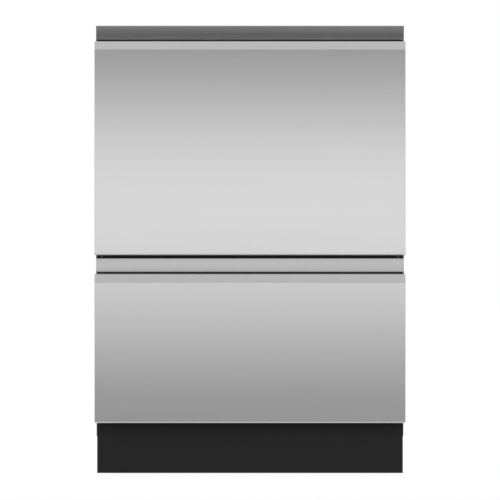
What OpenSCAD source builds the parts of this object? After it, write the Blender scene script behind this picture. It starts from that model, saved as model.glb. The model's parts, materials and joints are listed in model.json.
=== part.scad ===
// Built-in dishwasher with two drawers, one above the other, over a toe kick.
// X runs to the right, Y to the back and Z up. The origin is on the floor, at the middle
// of the object. The drawers are shut and slide out towards -Y.

/* [Fronts] */
// Width of each drawer front
front_w = 599; // [570:1:720]
// Height of the lower front, from its lower edge to the top of its lip
lower_front_h = 287; // [270:1:360]
// Height of the upper front, from its lower edge to the top of its lip
upper_front_h = 412; // [345:1:500]
// Gap between the lower handle strip and the upper front
front_gap = 5; // [3:0.5:10]
// Height that a handle strip rises above the lip in front of it
strip_rise = 31; // [26:1:40]
// Height of the slanted lip
lip_h = 16; // [10:1:22]
// How far the lip leans back
lip_lean = 8; // [4:0.5:12]
// Depth of the finger pocket, from the front face to the handle strip
pocket_d = 30; // [25:1:32]
// Depth of the finger pocket below the lip
pocket_drop = 40; // [30:1:60]
// Height of the slot that shows between a lip and the handle strip behind it
strip_gap = 3; // [2:0.5:6]
// Thickness of the steel skin
skin_t = 1; // [0.8:0.1:1.5]
// Radius of the bend at the lower edge of a front
hem_r = 2.5; // [2:0.1:4]
// Radius of the soft bend between a front's face and its slanted lip
face_r = 5.5; // [2:0.5:8]
// Depth of a front, from its face to the chassis
front_d = 39.5; // [36:0.5:45]

/* [Chassis] */
// Depth of the whole object, from the fronts to the pipe ends
overall_d = 573; // [540:1:690]
// Height of the lower front above the floor
kick_h = 99; // [90:1:130]
// How far the kick plate stands back behind the fronts
kick_setback = 54.5; // [45:0.5:60]
// How much narrower than the fronts the chassis is, on each side
chassis_inset = 2.5; // [1:0.5:5]
// Thickness of the chassis sheet
sheet_t = 1; // [0.8:0.1:1.5]
// How far the pipe ends stand out behind the rear panel
pipe_reach = 18; // [14:1:30]
// Height of the cross rail between the drawers
rail_h = 16; // [12:1:18]
// Height of the base tray's walls
tray_h = 24; // [18:1:26]

/* [Tubs] */
// Space beside a tub, from the outside of the chassis to the outside of the tub
tub_gap = 29; // [28:0.5:40]
// Thickness of a tub's walls
tub_t = 2.5; // [2:0.1:3.5]
// Radius of a tub's upright corners, outside
tub_r = 45; // [25:1:60]
// Radius between the walls and the floor of a tub, inside
tub_foot_r = 14; // [6:1:20]
// How far the tub's rim is below the top of the handle strip
rim_drop = 45; // [42:1:55]
// Height of a tub's floor above the lower edge of its front
floor_lift = 56; // [56:1:64]
// Depth of the sump and the pump below the tub's floor
pump_drop = 50; // [44:1:50]
// Thickness of a lid with its ribs
lid_h = 18; // [12:1:19]
// Height that a lid lifts off its tub
lid_lift = 12; // [8:1:12]

/* [Runners] */
// How far a drawer pulls out
travel = 490; // [300:5:495]
// Height of the cabinet member of a runner
runner_h = 46; // [36:1:60]
// Width of the runner, from the chassis wall inwards
runner_w = 12; // [10:0.5:12]
// Thickness of the runner steel
runner_t = 1.5; // [1:0.1:2]

/* [Baskets] */
// Diameter of the basket wire
wire_d = 4; // [3:0.5:5]
// Diameter of the basket's rim wire
rim_wire_d = 6; // [5:0.5:7]
// Distance between the cross wires
wire_pitch = 36; // [26:1:48]
// Distance between the wires that run front to back
long_pitch = 62; // [45:1:80]
// Bend radius of the basket wires
wire_bend = 18; // [12:1:26]
// Height of the basket's feet above the tub's floor
basket_lift = 46; // [44:1:60]
// Length of a plate tine
tine_h = 70; // [40:1:78]
// Distance between tines
tine_pitch = 30; // [20:1:40]
// Reach of the folding cup rack
rack_reach = 80; // [50:1:84]

/* [Washing parts] */
// Radius that the spray arm sweeps
arm_r = 205; // [150:1:215]
// Diameter of the fixed post that the spray arm and the pump rotor turn on
post_d = 8; // [6:0.5:10]
// Number of jets in each half of the spray arm
jet_count = 7; // [3:1:9]
// Radius of the filter plate
filter_r = 120; // [105:1:140]

/* [Small parts] */
// Diameter of a foot's pad
foot_d = 44; // [30:1:50]
// Diameter of a foot's screw
foot_screw_d = 10; // [8:1:12]
// Diameter of a control button
button_d = 12; // [8:1:14]
// Travel of a control button
button_press = 1.5; // [1:0.1:2]
// Radial clearance of a turning or sliding fit
fit = 0.05; // [0.02:0.01:0.1]
// Gap between pieces that lie on each other but come apart
seat = 0.3; // [0.1:0.05:0.5]

/* [Hidden] */
$fn = 48;
e = 0.5;                                  // how far a cutter runs past the face that it cuts

// Planes of the whole object
face_y = -overall_d / 2;                  // front faces
ch_y0 = face_y + front_d;                 // front edge of the chassis
ch_y1 = overall_d / 2 - pipe_reach;       // rear face of the chassis
ch_x = front_w / 2 - chassis_inset;       // outside of the side panels
in_x = ch_x - sheet_t;                    // inside of the side panels
kick_y = face_y + kick_setback;           // face of the kick plate

// Levels of the two drawers: [front's lower edge, top of lip, top of handle strip]
lower_z0 = kick_h;
lower_lip = lower_z0 + lower_front_h;
lower_top = lower_lip + strip_rise;
upper_z0 = lower_top + front_gap;
upper_lip = upper_z0 + upper_front_h;
upper_top = upper_lip + strip_rise;
UPPER = [upper_z0, upper_lip, upper_top];
LOWER = [lower_z0, lower_lip, lower_top];
function z0(d) = d[0];
function lip(d) = d[1];
function top(d) = d[2];
function rim(d) = top(d) - rim_drop;      // top of the tub
function flr(d) = z0(d) + floor_lift;     // inside floor of the tub

// Chassis levels
tray_z = kick_h - tray_h - 3;             // underside of the base tray
ch_z1 = upper_top - 3;                    // top of the chassis
rail_z1 = upper_z0 + 2;                   // top of the cross rail
rail_z0 = rail_z1 - rail_h;
tray_y0 = kick_y + 17;                    // front of the base tray

// Front pieces
fold_r = skin_t + 0.5;                    // outside radius of the tight folds in the steel
lip_y = face_y + lip_lean;                // front edge of the lip's flat top
lip_back = lip_y + 2 * fold_r;            // back of the lip
strip_y = face_y + pocket_d;              // face of the handle strip
frame_back = ch_y0 - 3;                   // back of the front frame
frame_x = in_x - 0.5;
frame_t = 2.5;
wall_y = frame_back - frame_t;            // back wall of the finger pocket
pocket_r = 8;                             // radius at its foot
trim_t = 3 - seat;                        // rubber trims fill the gap behind the front frame

// Tubs
tub_x = ch_x - tub_gap;
tub_y0 = frame_back + 22;
tub_y1 = ch_y1 - 43.5;
tub_cy = (tub_y0 + tub_y1) / 2;
flange = 6;                               // how far the tub's rim flange stands out
tub_ix = tub_x - tub_t;
tub_iy0 = tub_y0 + tub_t;
tub_iy1 = tub_y1 - tub_t;
sump_r = 90;
sump_d = 22;
seal_h = 4;

// Runners: cabinet member, middle member and drawer member nest in each other
nest = 0.5;                               // gap between the members' lips
mid_h = runner_h - 2 * runner_t - 2 * nest;
inner_h = mid_h - 2 * runner_t - 2 * nest;
run_y0 = ch_y0 + 3;
run_y1 = ch_y1 - 22;
function run_z(d) = flr(d) + 45;

// Baskets
wr = wire_d / 2;
rr = rim_wire_d / 2;
bite = 0.3;                               // how deep welded wires run into each other
bas_x = tub_ix - 17.5;                    // middle of the side wires
bas_y0 = tub_iy0 + 35.5;                  // middle of the front wires
bas_y1 = tub_iy1 - 14.5;
function bas_z(d) = flr(d) + basket_lift + seat + wr;   // middle of the lowest wires
function bas_top(d) = rim(d) - 10;
cross_n = floor((bas_y1 - bas_y0 - 2 * wire_bend) / wire_pitch) + 1;
cross_y0 = (bas_y0 + bas_y1 - (cross_n - 1) * wire_pitch) / 2;
long_n = floor((2 * bas_x - 2 * wire_bend) / long_pitch) + 1;
long_x0 = -(long_n - 1) * long_pitch / 2;
cross_lift = wire_d - bite;               // cross wires lie on the long wires
function cross_y(i) = cross_y0 + i * wire_pitch;
tine_r = 1.75;
rod_r = 2;
clip_r = rod_r + 2;
function rod_z(d) = bas_z(d) + cross_lift + wr + seat + rod_r;
tine_x0 = -(bas_x - 48);
tine_x1 = bas_x - 128;
tine_n = floor((tine_x1 - tine_x0) / tine_pitch) + 1;
fold_row = 4;                             // cross wire that carries the folding tines
fixed_rows = [1, 7];                      // a row of fixed tines lies behind each of these cross wires
seam = 0.1;                               // joint between the grids that a basket is put together from
seam_at = 0.53;                           // its height up the bends, as a share of their radius
rack_rod_r = 2.5;
rack_x = bas_x - wr - seat - rack_rod_r;  // hinge rod of the cup rack
function rack_z(d) = bas_top(d) - 90;
rack_y0 = cross_y(2) + 8;
rack_y1 = cross_y(cross_n - 3) - 8;

// Feet
foot_x = tub_x - 6;
foot_y0 = kick_y + 47;
foot_y1 = ch_y1 - 38;
foot_top = flr(LOWER) - 15;
foot_r = foot_screw_d / 2;

// Shared shapes

// Puts a profile drawn in Y and Z across the object, from x = x0 over a width w
module across(x0, w) translate([x0, 0, 0]) rotate([90, 0, 90]) linear_extrude(w) children();

// Rectangle from corner a to corner b with round corners
module round_rect(a, b, r) {
  translate([a[0] + r, a[1]]) square([b[0] - a[0] - 2 * r, b[1] - a[1]]);
  translate([a[0], a[1] + r]) square([b[0] - a[0], b[1] - a[1] - 2 * r]);
  for (x = [a[0] + r, b[0] - r], y = [a[1] + r, b[1] - r]) translate([x, y]) circle(r);
}

// Folded sheet, seen from its end. Its outside is a path p whose bends all turn to the right, with
// the radius r[i - 1] at the bend p[i]
function along(p, i) = (p[i + 1] - p[i]) / norm(p[i + 1] - p[i]);
function right_of(u) = [u[1], -u[0]];
function bend_cut(p, r, i) = i == 0 || i == len(p) - 1 ? 0
  : r[i - 1] * tan(acos(along(p, i - 1) * along(p, i)) / 2);
function leg_start(p, r, i) = p[i] + bend_cut(p, r, i) * along(p, i);
function leg_end(p, r, i) = p[i + 1] - bend_cut(p, r, i + 1) * along(p, i);
function bend_centre(p, r, i) = leg_end(p, r, i - 1) + r[i - 1] * right_of(along(p, i - 1));
function inside_of(p, t) = [for (i = [0 : len(p) - 1])
  let (u = right_of(along(p, max(i - 1, 0))), v = right_of(along(p, min(i, len(p) - 2))))
  p[i] + t * (u + v) / (1 + u * v)];

// Plate on the right of the path, closed through the points in back, with its corners rounded off
module fold_plate(p, r, back) difference() {
  polygon(concat(p, back));
  for (i = [1 : len(p) - 2]) difference() {
    polygon([leg_end(p, r, i - 1), p[i] - e * (right_of(along(p, i - 1)) + right_of(along(p, i))),
      leg_start(p, r, i), bend_centre(p, r, i)]);
    translate(bend_centre(p, r, i)) circle(r[i - 1]);
  }
}

// The sheet itself, of thickness t: its plate without the plate inside it, closed through room
module folded(p, r, t, back, room) difference() {
  fold_plate(p, r, back);
  fold_plate(inside_of(p, t), [for (x = r) x - t], room);
}

// Box from corner a to corner b
module box(a, b) translate(a) cube(b - a);

// Both sides of the object: the child and its mirror image
module both() { children(); mirror([1, 0, 0]) children(); }

module rod_x(p, len, r) translate(p) rotate([0, 90, 0]) cylinder(h = len, r = r);
module rod_y(p, len, r) translate(p) rotate([-90, 0, 0]) cylinder(h = len, r = r);
module rod_up(p, len, r) translate(p) cylinder(h = len, r = r);

// Chassis

flange_w = 12;                            // width of the chassis flanges
panel_z1 = ch_z1 - sheet_t;               // top of the side panels
rear_y = ch_y1 - 2 * sheet_t;             // inside of the rear panel
screw_r = 1.75;
screw_x = ch_x - flange_w / 2;
screw_rows = 5;
function screw_z(i) = tray_z + 30 + i * (panel_z1 - tray_z - 60) / (screw_rows - 1);
fix_r = 2.25;                             // cabinet fixing holes
fix_y = ch_y0 + 14;
fix_span = 450;                           // between the upper and lower fixing holes
fix_z = [(ch_z1 + kick_h) / 2 - fix_span / 2, (ch_z1 + kick_h) / 2 + fix_span / 2];
pin_r = 3.5;                              // pins that lift a lid
function pin_z(d) = rim(d) + seat + seal_h + lid_h - 4;
pipe_z = tray_z + 48;
inlet_x = -215;
drain_x = 215;
bush_x = 120;
inlet_r = 13.2;
collar = 2;                               // pipe collars reach this far through the rear panel
drain_r = 9.5;
bush_r = 9;                               // hole in the rear panel for the mains lead's bush

module side_panel() difference() {
  union() {
    box([in_x, ch_y0, tray_z], [ch_x, ch_y1, panel_z1]);
    for (y = [ch_y0, ch_y1 - sheet_t])
      box([ch_x - flange_w, y, tray_z], [ch_x, y + sheet_t, panel_z1]);
    box([ch_x - flange_w, ch_y0, panel_z1 - sheet_t], [ch_x, rear_y, panel_z1]);
  }
  box([ch_x - flange_w - e, ch_y0 - e, tray_z - e], [ch_x + e, tray_y0, kick_h]);
  for (d = [UPPER, LOWER])
    box([ch_x - flange_w - e, ch_y0 - e, run_z(d) - runner_h / 2 - 1],
        [in_x, ch_y0 + sheet_t + e, run_z(d) + runner_h / 2 + 1]);
  for (z = fix_z) rod_x([in_x - e, fix_y, z], sheet_t + 2 * e, 2 * fix_r);
  for (i = [0:screw_rows - 1])
    rod_y([screw_x, ch_y1 - sheet_t - e, screw_z(i)], sheet_t + 2 * e, screw_r + 2 * fit);
  // Vent slots over the pump of each drawer
  for (d = [UPPER, LOWER], i = [0:5])
    box([in_x - e, ch_y1 - 150 + i * 16, flr(d) + 100], [ch_x + e, ch_y1 - 144 + i * 16, flr(d) + 160]);
}

module side_panels() color("#3a3b3d") both() side_panel();

module rear_panel() color("#8d9092") difference() {
  union() {
    box([-in_x, rear_y, tray_z], [in_x, rear_y + sheet_t, panel_z1]);
    // Pressed beads
    for (x = [-180, -60, 60, 180])
      across(x - 9, 18) polygon([[rear_y + sheet_t, tray_z + 130], [ch_y1 + 1, tray_z + 136],
        [ch_y1 + 1, panel_z1 - 56], [rear_y + sheet_t, panel_z1 - 50]]);
  }
  rod_y([inlet_x, rear_y - e, pipe_z], sheet_t + 2 * e, inlet_r + 0.8);
  rod_y([drain_x, rear_y - e, pipe_z], sheet_t + 2 * e, drain_r + 0.8);
  rod_y([bush_x, rear_y - e, pipe_z], sheet_t + 2 * e, bush_r);
  for (s = [-1, 1], i = [0:screw_rows - 1])
    rod_y([s * screw_x, rear_y - e, screw_z(i)], sheet_t + 2 * e, screw_r + 2 * fit);
  // Vent slots
  for (i = [0:8])
    box([-44 + i * 11, rear_y - e, tray_z + 50], [-39 + i * 11, rear_y + sheet_t + e, tray_z + 95]);
}

module top_panel() color("#8d9092") difference() {
  union() {
    box([-ch_x, ch_y0, panel_z1], [ch_x, ch_y1, ch_z1]);
    box([-ch_x + flange_w, ch_y0, ch_z1 - 9], [ch_x - flange_w, ch_y0 + sheet_t, panel_z1]);
    // Pressed beads under the sheet
    for (x = [-200 : 100 : 200]) translate([0, 0, panel_z1 - 2]) linear_extrude(2 + e)
      round_rect([x - 12, ch_y0 + 60], [x + 12, rear_y - 40], 11);
  }
  // The beads are hollow from above
  for (x = [-200 : 100 : 200]) translate([0, 0, panel_z1 - 1]) linear_extrude(sheet_t + 2)
    round_rect([x - 11, ch_y0 + 61], [x + 11, rear_y - 41], 10);
}

module cross_rail() color("#1b1b1c") across(-in_x, 2 * in_x) polygon([
  [ch_y0 + sheet_t, rail_z0], [ch_y0 + 42, rail_z0], [ch_y0 + 42, rail_z0 + 1.5],
  [ch_y0 + sheet_t + 1.5, rail_z0 + 1.5], [ch_y0 + sheet_t + 1.5, rail_z1 - 1.5],
  [ch_y0 + 42, rail_z1 - 1.5], [ch_y0 + 42, rail_z1], [ch_y0 + sheet_t, rail_z1]]);

module base_tray() color("#8d9092") difference() {
  union() {
    difference() {
      box([-in_x, tray_y0, tray_z], [in_x, rear_y, tray_z + tray_h]);
      box([-in_x + 1.5, tray_y0 + 1.5, tray_z + 1.5], [in_x - 1.5, rear_y - 1.5, tray_z + tray_h + e]);
    }
    for (x = [-foot_x, foot_x], y = [foot_y0, foot_y1]) rod_up([x, y, tray_z + 1], 13, foot_r + 4);
    // Ribs under the tubs
    for (x = [-200, -70, 70, 200]) box([x - 1, tray_y0 + 1, tray_z + 1], [x + 1, rear_y - 1, tray_z + 6]);
  }
  for (x = [-foot_x, foot_x], y = [foot_y0, foot_y1]) rod_up([x, y, tray_z - e], 15, foot_r + fit);
}

kick_gap = 1;                             // between the kick plate and the floor
kick_x = frame_x;
module kick_plate() color("#161616") difference() {
  box([-kick_x, kick_y, kick_gap], [kick_x, kick_y + 14, kick_h - 2]);
  box([-kick_x + sheet_t, kick_y + sheet_t, kick_gap + sheet_t],
      [kick_x - sheet_t, kick_y + 14 + e, kick_h - 2 - sheet_t]);
}

module kick_bracket(x) translate([x, 0, 0]) {
  z = kick_h - 50;
  box([-16, kick_y + sheet_t, z], [0, kick_y + sheet_t + 2, kick_h - 5]);
  box([-2, kick_y + sheet_t, z], [0, tray_y0, kick_h - 5]);
  box([-2, tray_y0 - 2, z], [16, tray_y0, kick_h - 5]);
}

module fixing_bracket(z) difference() {
  box([ch_x, ch_y0 + 2, z - 20], [ch_x + 1.5, ch_y0 + 44, z + 20]);
  rod_x([ch_x - e, fix_y, z], 1.5 + 2 * e, fix_r);
}

module brackets() color("#a9abad") {
  both() kick_bracket(200);
  both() for (z = fix_z) fixing_bracket(z);
}

module side_trims() color("#141414") both() difference() {
  translate([0, 0, kick_h]) linear_extrude(ch_z1 - kick_h) polygon([
    [ch_x - 9, ch_y0], [ch_x - 9, ch_y0 - 1.2], [ch_x - 7, ch_y0 - trim_t], [ch_x - 3, ch_y0 - trim_t],
    [ch_x - 2, ch_y0 - 1.6], [ch_x, ch_y0 - 1.6], [ch_x, ch_y0]]);
  // Way out for the runners
  for (d = [UPPER, LOWER])
    box([ch_x - 10, ch_y0 - trim_t - e, run_z(d) - runner_h / 2 - 1],
        [in_x - 1, ch_y0 + e, run_z(d) + runner_h / 2 + 1]);
}

// Channel with its lips from x = xa to xb and its web starting at x = web
module channel(xa, xb, h, z, y0, y1, web) translate([0, y0, z]) {
  box([web, 0, -h / 2], [web + runner_t, y1 - y0, h / 2]);
  for (s = [-1, 1]) box([xa, 0, s * (h - runner_t) / 2 - runner_t / 2],
                        [xb, y1 - y0, s * (h - runner_t) / 2 + runner_t / 2]);
}

module cabinet_runners() color("#b7b9bb") both() for (d = [UPPER, LOWER]) {
  channel(in_x - runner_w, in_x, runner_h, run_z(d), run_y0, run_y1, in_x - runner_t);
  // End stop
  box([in_x - runner_w, run_y1 - 3, run_z(d) - runner_h / 2], [in_x, run_y1, run_z(d) + runner_h / 2]);
}

act_w = 11.7;
module lid_actuator(d) difference() {
  union() {
    box([in_x - act_w, tub_cy - 34, pin_z(d) - 46],
        [in_x, tub_cy + 34, pin_z(d) + lid_lift + pin_r + 3]);
    // Gear motor behind the housing
    rod_y([in_x - act_w / 2, tub_cy + 33, pin_z(d) - 30], 46, act_w / 2 - 0.4);
    rod_y([in_x - act_w / 2, tub_cy + 78, pin_z(d) - 30], 5, 2);
  }
  // Slot that the lid's pin rides in
  box([in_x - act_w - e, tub_cy - pin_r - seat, pin_z(d) - pin_r - seat],
      [in_x - 3, tub_cy + pin_r + seat, pin_z(d) + lid_lift + pin_r + seat]);
}
module lid_actuators() color("#e8e6df") both() for (d = [UPPER, LOWER]) lid_actuator(d);

module inlet_valve() color("#d9d6cc") difference() {
  union() {
    box([inlet_x - 20, rear_y - 34, pipe_z - 17], [inlet_x + 20, rear_y, pipe_z + 17]);
    rod_y([inlet_x, rear_y - e, pipe_z], collar + e, inlet_r + 0.5);
    rod_y([inlet_x, rear_y, pipe_z], overall_d / 2 - rear_y, inlet_r);
    for (s = [-1, 1]) rod_up([inlet_x + s * 10, rear_y - 18, pipe_z + 16], 14, 8);
    rod_y([inlet_x, rear_y - 52, pipe_z], 20, 7);
  }
  rod_y([inlet_x, rear_y - 10, pipe_z], overall_d / 2 - rear_y + 10 + e, inlet_r - 3.2);
  rod_y([inlet_x, rear_y - 52 - e, pipe_z], 16, 5);
}

module drain_outlet() color("#e8e6df") difference() {
  union() {
    rod_y([drain_x, rear_y - 24, pipe_z], overall_d / 2 - rear_y + 24, drain_r);
    rod_y([drain_x, rear_y - 4, pipe_z], 4 + collar, drain_r + 0.5);
    rod_y([drain_x, rear_y - 4, pipe_z], 4, drain_r + 8);
    // Elbow to the drain hose under the tub
    translate([drain_x, rear_y - 24, pipe_z]) sphere(drain_r);
    rod_x([drain_x - 26, rear_y - 24, pipe_z], 26, drain_r - 1);
  }
  rod_y([drain_x, rear_y - 20, pipe_z], overall_d / 2 - rear_y + 20 + e, drain_r - 2);
}

module mains_bush() color("#141414") translate([bush_x, rear_y, pipe_z]) rotate([-90, 0, 0])
  rotate_extrude() polygon([[4.5, -4], [9.5, -4], [11, -3], [11, 0], [bush_r - fit, 0],
    [bush_r - fit, sheet_t], [11, sheet_t], [11, 4], [8, 8], [4.5, 8]]);

module control_module() color("#ece9e1") {
  x0 = -150;
  y0 = tub_cy + 42;
  difference() {
    translate([0, 0, tray_z + 6]) linear_extrude(15) round_rect([x0, y0], [x0 + 180, y0 + 130], 8);
    // Sockets for the plugs of the wiring
    for (i = [0:4]) box([x0 + 18 + i * 32, y0 - e, tray_z + 10], [x0 + 38 + i * 32, y0 + 8, tray_z + 17]);
  }
  for (i = [0:8]) box([x0 + 15 + i * 18, y0 + 20, tray_z + 20.9], [x0 + 17 + i * 18, y0 + 118, tray_z + 24]);
}

module chassis_screws() color("#c4c6c8")
  for (s = [-1, 1], i = [0:screw_rows - 1]) {
    rod_y([s * screw_x, ch_y1 - 8, screw_z(i)], 8.2, screw_r);
    rod_y([s * screw_x, ch_y1, screw_z(i)], 2, 4);
  }

module foot(x, y) color("#2a2a2b") {
  translate([x, y, 0]) rotate_extrude() polygon([[0, 0], [foot_d / 2 - 2, 0], [foot_d / 2, 2],
    [foot_d / 2, 5], [foot_r + 8, 11], [foot_r + 3, 13], [foot_r + 3, 22], [0, 22]]);
  rod_up([x, y, 20], foot_top - 22, foot_r);
  // Hexagon for a spanner
  translate([x, y, 22]) cylinder(h = 7, r = foot_r + 4, $fn = 6);
  translate([x, y, foot_top - 2]) cylinder(h = 2, r1 = foot_r, r2 = foot_r - 1.5);
}
module foot_front_left() foot(-foot_x, foot_y0);
module foot_front_right() foot(foot_x, foot_y0);
module foot_rear_left() foot(-foot_x, foot_y1);
module foot_rear_right() foot(foot_x, foot_y1);

// Fronts

ctl_x = 240;                              // half the width of the control strip
ctl_t = 2;
ctl_h = 30;
button_x = 70;                            // buttons stand this far from the middle
button_flange = 1.5;                      // a button's collar keeps it under the strip
board_drop = 14;                          // circuit board below the top of the control strip
function ctl_z(d) = top(d) - 15;          // top of the control strip
hang_x0 = 150;                            // channels that carry the tub on the frame
hang_x1 = 172;

module front_skin(d) color("#bcbec0") {
  z1 = lip(d) - lip_h;
  path = [[face_y + 14, z0(d)], [face_y, z0(d)], [face_y, z1], [lip_y, lip(d)], [lip_back, lip(d)],
          [lip_back, lip(d) - 12]];
  radii = [hem_r, face_r, fold_r, fold_r];
  hem_y = face_y + 14;
  across(-front_w / 2, front_w) folded(path, radii, skin_t, [[hem_y, lip(d) - 12]],
    [[hem_y + e, lip(d) - 12], [hem_y + e, z0(d) + skin_t]]);
  // Folded sides
  for (x = [-front_w / 2, front_w / 2 - skin_t]) across(x, skin_t)
    fold_plate(path, radii, [[face_y + 24, z1 - 14], [face_y + 24, z0(d)]]);
}

// Strip folded from sheet, its lower fold resting against the back wall of the pocket
module handle_strip(d) color("#96999c") {
  z1 = lip(d) + strip_gap;
  z2 = z1 + skin_t;
  across(-ch_x, 2 * ch_x) folded([[wall_y, z1], [strip_y, z1], [strip_y, top(d)], [frame_back, top(d)]],
    [fold_r, fold_r], skin_t, [[frame_back, z2], [wall_y, z2]],
    [[frame_back + e, top(d) - skin_t], [frame_back + e, z2]]);
}

module front_frame(d) color("#5d6063") {
  y0 = face_y + skin_t;
  y1 = frame_back - frame_t;
  za = z0(d) + skin_t;
  zp = lip(d) - pocket_drop;
  box([-frame_x, y1, za], [frame_x, frame_back, top(d) - skin_t]);
  box([-frame_x, y0 + hem_r - skin_t, za], [frame_x, y1 + e, za + frame_t]);
  // Floor of the finger pocket, with a round foot to its back wall
  across(-frame_x, 2 * frame_x) difference() {
    polygon([[y0, zp - frame_t], [y1 + e, zp - frame_t], [y1 + e, zp + pocket_r], [y1, zp + pocket_r],
      [y1 - pocket_r, zp], [y0, zp]]);
    translate([y1 - pocket_r, zp + pocket_r]) circle(pocket_r);
  }
  // Cheeks that close the ends of the pocket
  for (x = [-frame_x, frame_x - frame_t]) across(x, frame_t) polygon([
    [lip_back - skin_t - 6, zp - e], [y1 + e, zp - e], [y1 + e, top(d) - skin_t],
    [strip_y + fold_r, top(d) - skin_t], [strip_y + skin_t, top(d) - fold_r],
    [strip_y + skin_t, lip(d) + strip_gap + fold_r], [strip_y + fold_r, lip(d) + strip_gap + skin_t],
    [wall_y, lip(d) + strip_gap + skin_t], [wall_y, lip(d) + strip_gap],
    [strip_y + fold_r, lip(d) + strip_gap],
    [lip_back + 0.5, lip(d) - 1], [lip_back + 0.5, lip(d) - 12.5], [lip_back - skin_t - 6, lip(d) - 12.5]]);
  for (x = [-frame_x, frame_x - frame_t]) across(x, frame_t) polygon([
    [y0 + hem_r - skin_t, za], [y1 + e, za], [y1 + e, zp], [y0, zp], [y0, za + hem_r - skin_t]]);
  // Ribs behind the skin
  for (x = [-225 : 75 : 225]) box([x - 1, y0 + 3, za + 1], [x + 1, y1 + e, zp - 1]);
  for (f = [1, 2]) {
    z = za + f * (zp - za) / 3;
    box([-frame_x + 1, y0 + 3, z - 1], [frame_x - 1, y1 + e, z + 1]);
  }
  // Ribs behind the handle strip
  for (z = [lip(d) + strip_gap + 8, top(d) - 9])
    box([-frame_x, strip_y + skin_t, z], [frame_x, y1 + e, z + 2]);
  // Channels that carry the tub
  h0 = flr(d) + 10;
  h1 = rim(d) - 60;
  for (s = [0, 1]) mirror([s, 0, 0]) difference() {
    box([hang_x0, frame_back - e, h0], [hang_x1, tub_y0, h1]);
    box([hang_x0 + frame_t, frame_back, h0 - e], [hang_x1 - frame_t, tub_y0 - frame_t, h1 + e]);
  }
}

module control_strip(d) color("#1c1d1f") {
  y0 = frame_back;
  y1 = tub_y0;
  z1 = ctl_z(d);
  ym = (y0 + y1) / 2;
  difference() {
    box([-ctl_x, y0, z1 - ctl_h], [ctl_x, y1, z1]);
    box([-ctl_x + ctl_t, y0 + ctl_t, z1 - ctl_h - e], [ctl_x - ctl_t, y1 - ctl_t, z1 - ctl_t]);
    for (x = [-button_x, button_x]) rod_up([x, ym, z1 - ctl_t - e], ctl_t + 2 * e, button_d / 2 + seat);
    box([-36, ym - 6, z1 - ctl_t - e], [36, ym + 6, z1 + e]);
  }
  // Display window
  box([-36, ym - 6, z1 - ctl_t], [36, ym + 6, z1]);
  // Circuit board with a switch under each button
  box([-ctl_x + 20, y0 + ctl_t, z1 - board_drop], [ctl_x - 20, y1 - ctl_t, z1 - board_drop + 1.6]);
  for (x = [-button_x, button_x]) rod_up([x, ym, z1 - board_drop + 1],
    board_drop - 1 - ctl_t - 0.2 - button_flange - button_press - seat, 3);
}

module button(d, x) color("#c9cbcd") {
  z1 = ctl_z(d);
  translate([x, (frame_back + tub_y0) / 2, 0]) rotate_extrude() polygon([
    [0, z1 - ctl_t - 0.2 - button_flange], [button_d / 2 + 1, z1 - ctl_t - 0.2 - button_flange],
    [button_d / 2 + 1, z1 - ctl_t - 0.2], [button_d / 2, z1 - ctl_t - 0.2], [button_d / 2, z1 + 1.2],
    [button_d / 2 - 0.8, z1 + 1.8], [button_d / 2 - 2.5, z1 + 1.5], [0, z1 + 1.2]]);
}

// Tubs and what is in them

ped_r = 9;                                // feet on the tub's floor that carry the basket
ped_x = -long_x0;
ped_y = 175;
hub_top = 28;                             // top of the fixed post above the tub's floor
floor_t = 3;

// Half profile of a wall: a square with its outer lower corner rounded
module foot_profile(w, h, f) {
  translate([0, f]) square([w, h - f]);
  square([w - f, f]);
  translate([w - f, f]) intersection() {
    circle(f);
    translate([0, -f]) square(f);
  }
}

// Block from corner a to corner b with upright corners of radius rc and a lower edge of radius f
module dish(a, b, rc, f) {
  w = b - a;
  box([a[0] + rc, a[1] + rc, a[2]], [b[0] - rc, b[1] - rc, b[2]]);
  for (s = [0, 1]) {
    translate([s == 0 ? b[0] - rc : a[0] + rc, a[1] + rc, a[2]]) mirror([s, 0, 0])
      rotate([90, 0, 180]) mirror([1, 0, 0]) linear_extrude(w[1] - 2 * rc) foot_profile(rc, w[2], f);
    translate([a[0] + rc, s == 0 ? b[1] - rc : a[1] + rc, a[2]]) mirror([0, s, 0])
      rotate([90, 0, 90]) linear_extrude(w[0] - 2 * rc) foot_profile(rc, w[2], f);
  }
  for (c = [[b[0] - rc, b[1] - rc, 0], [a[0] + rc, b[1] - rc, 90],
            [a[0] + rc, a[1] + rc, 180], [b[0] - rc, a[1] + rc, 270]])
    translate([c[0], c[1], a[2]]) rotate_extrude(start = c[2], angle = 90) foot_profile(rc, w[2], f);
}

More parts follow.
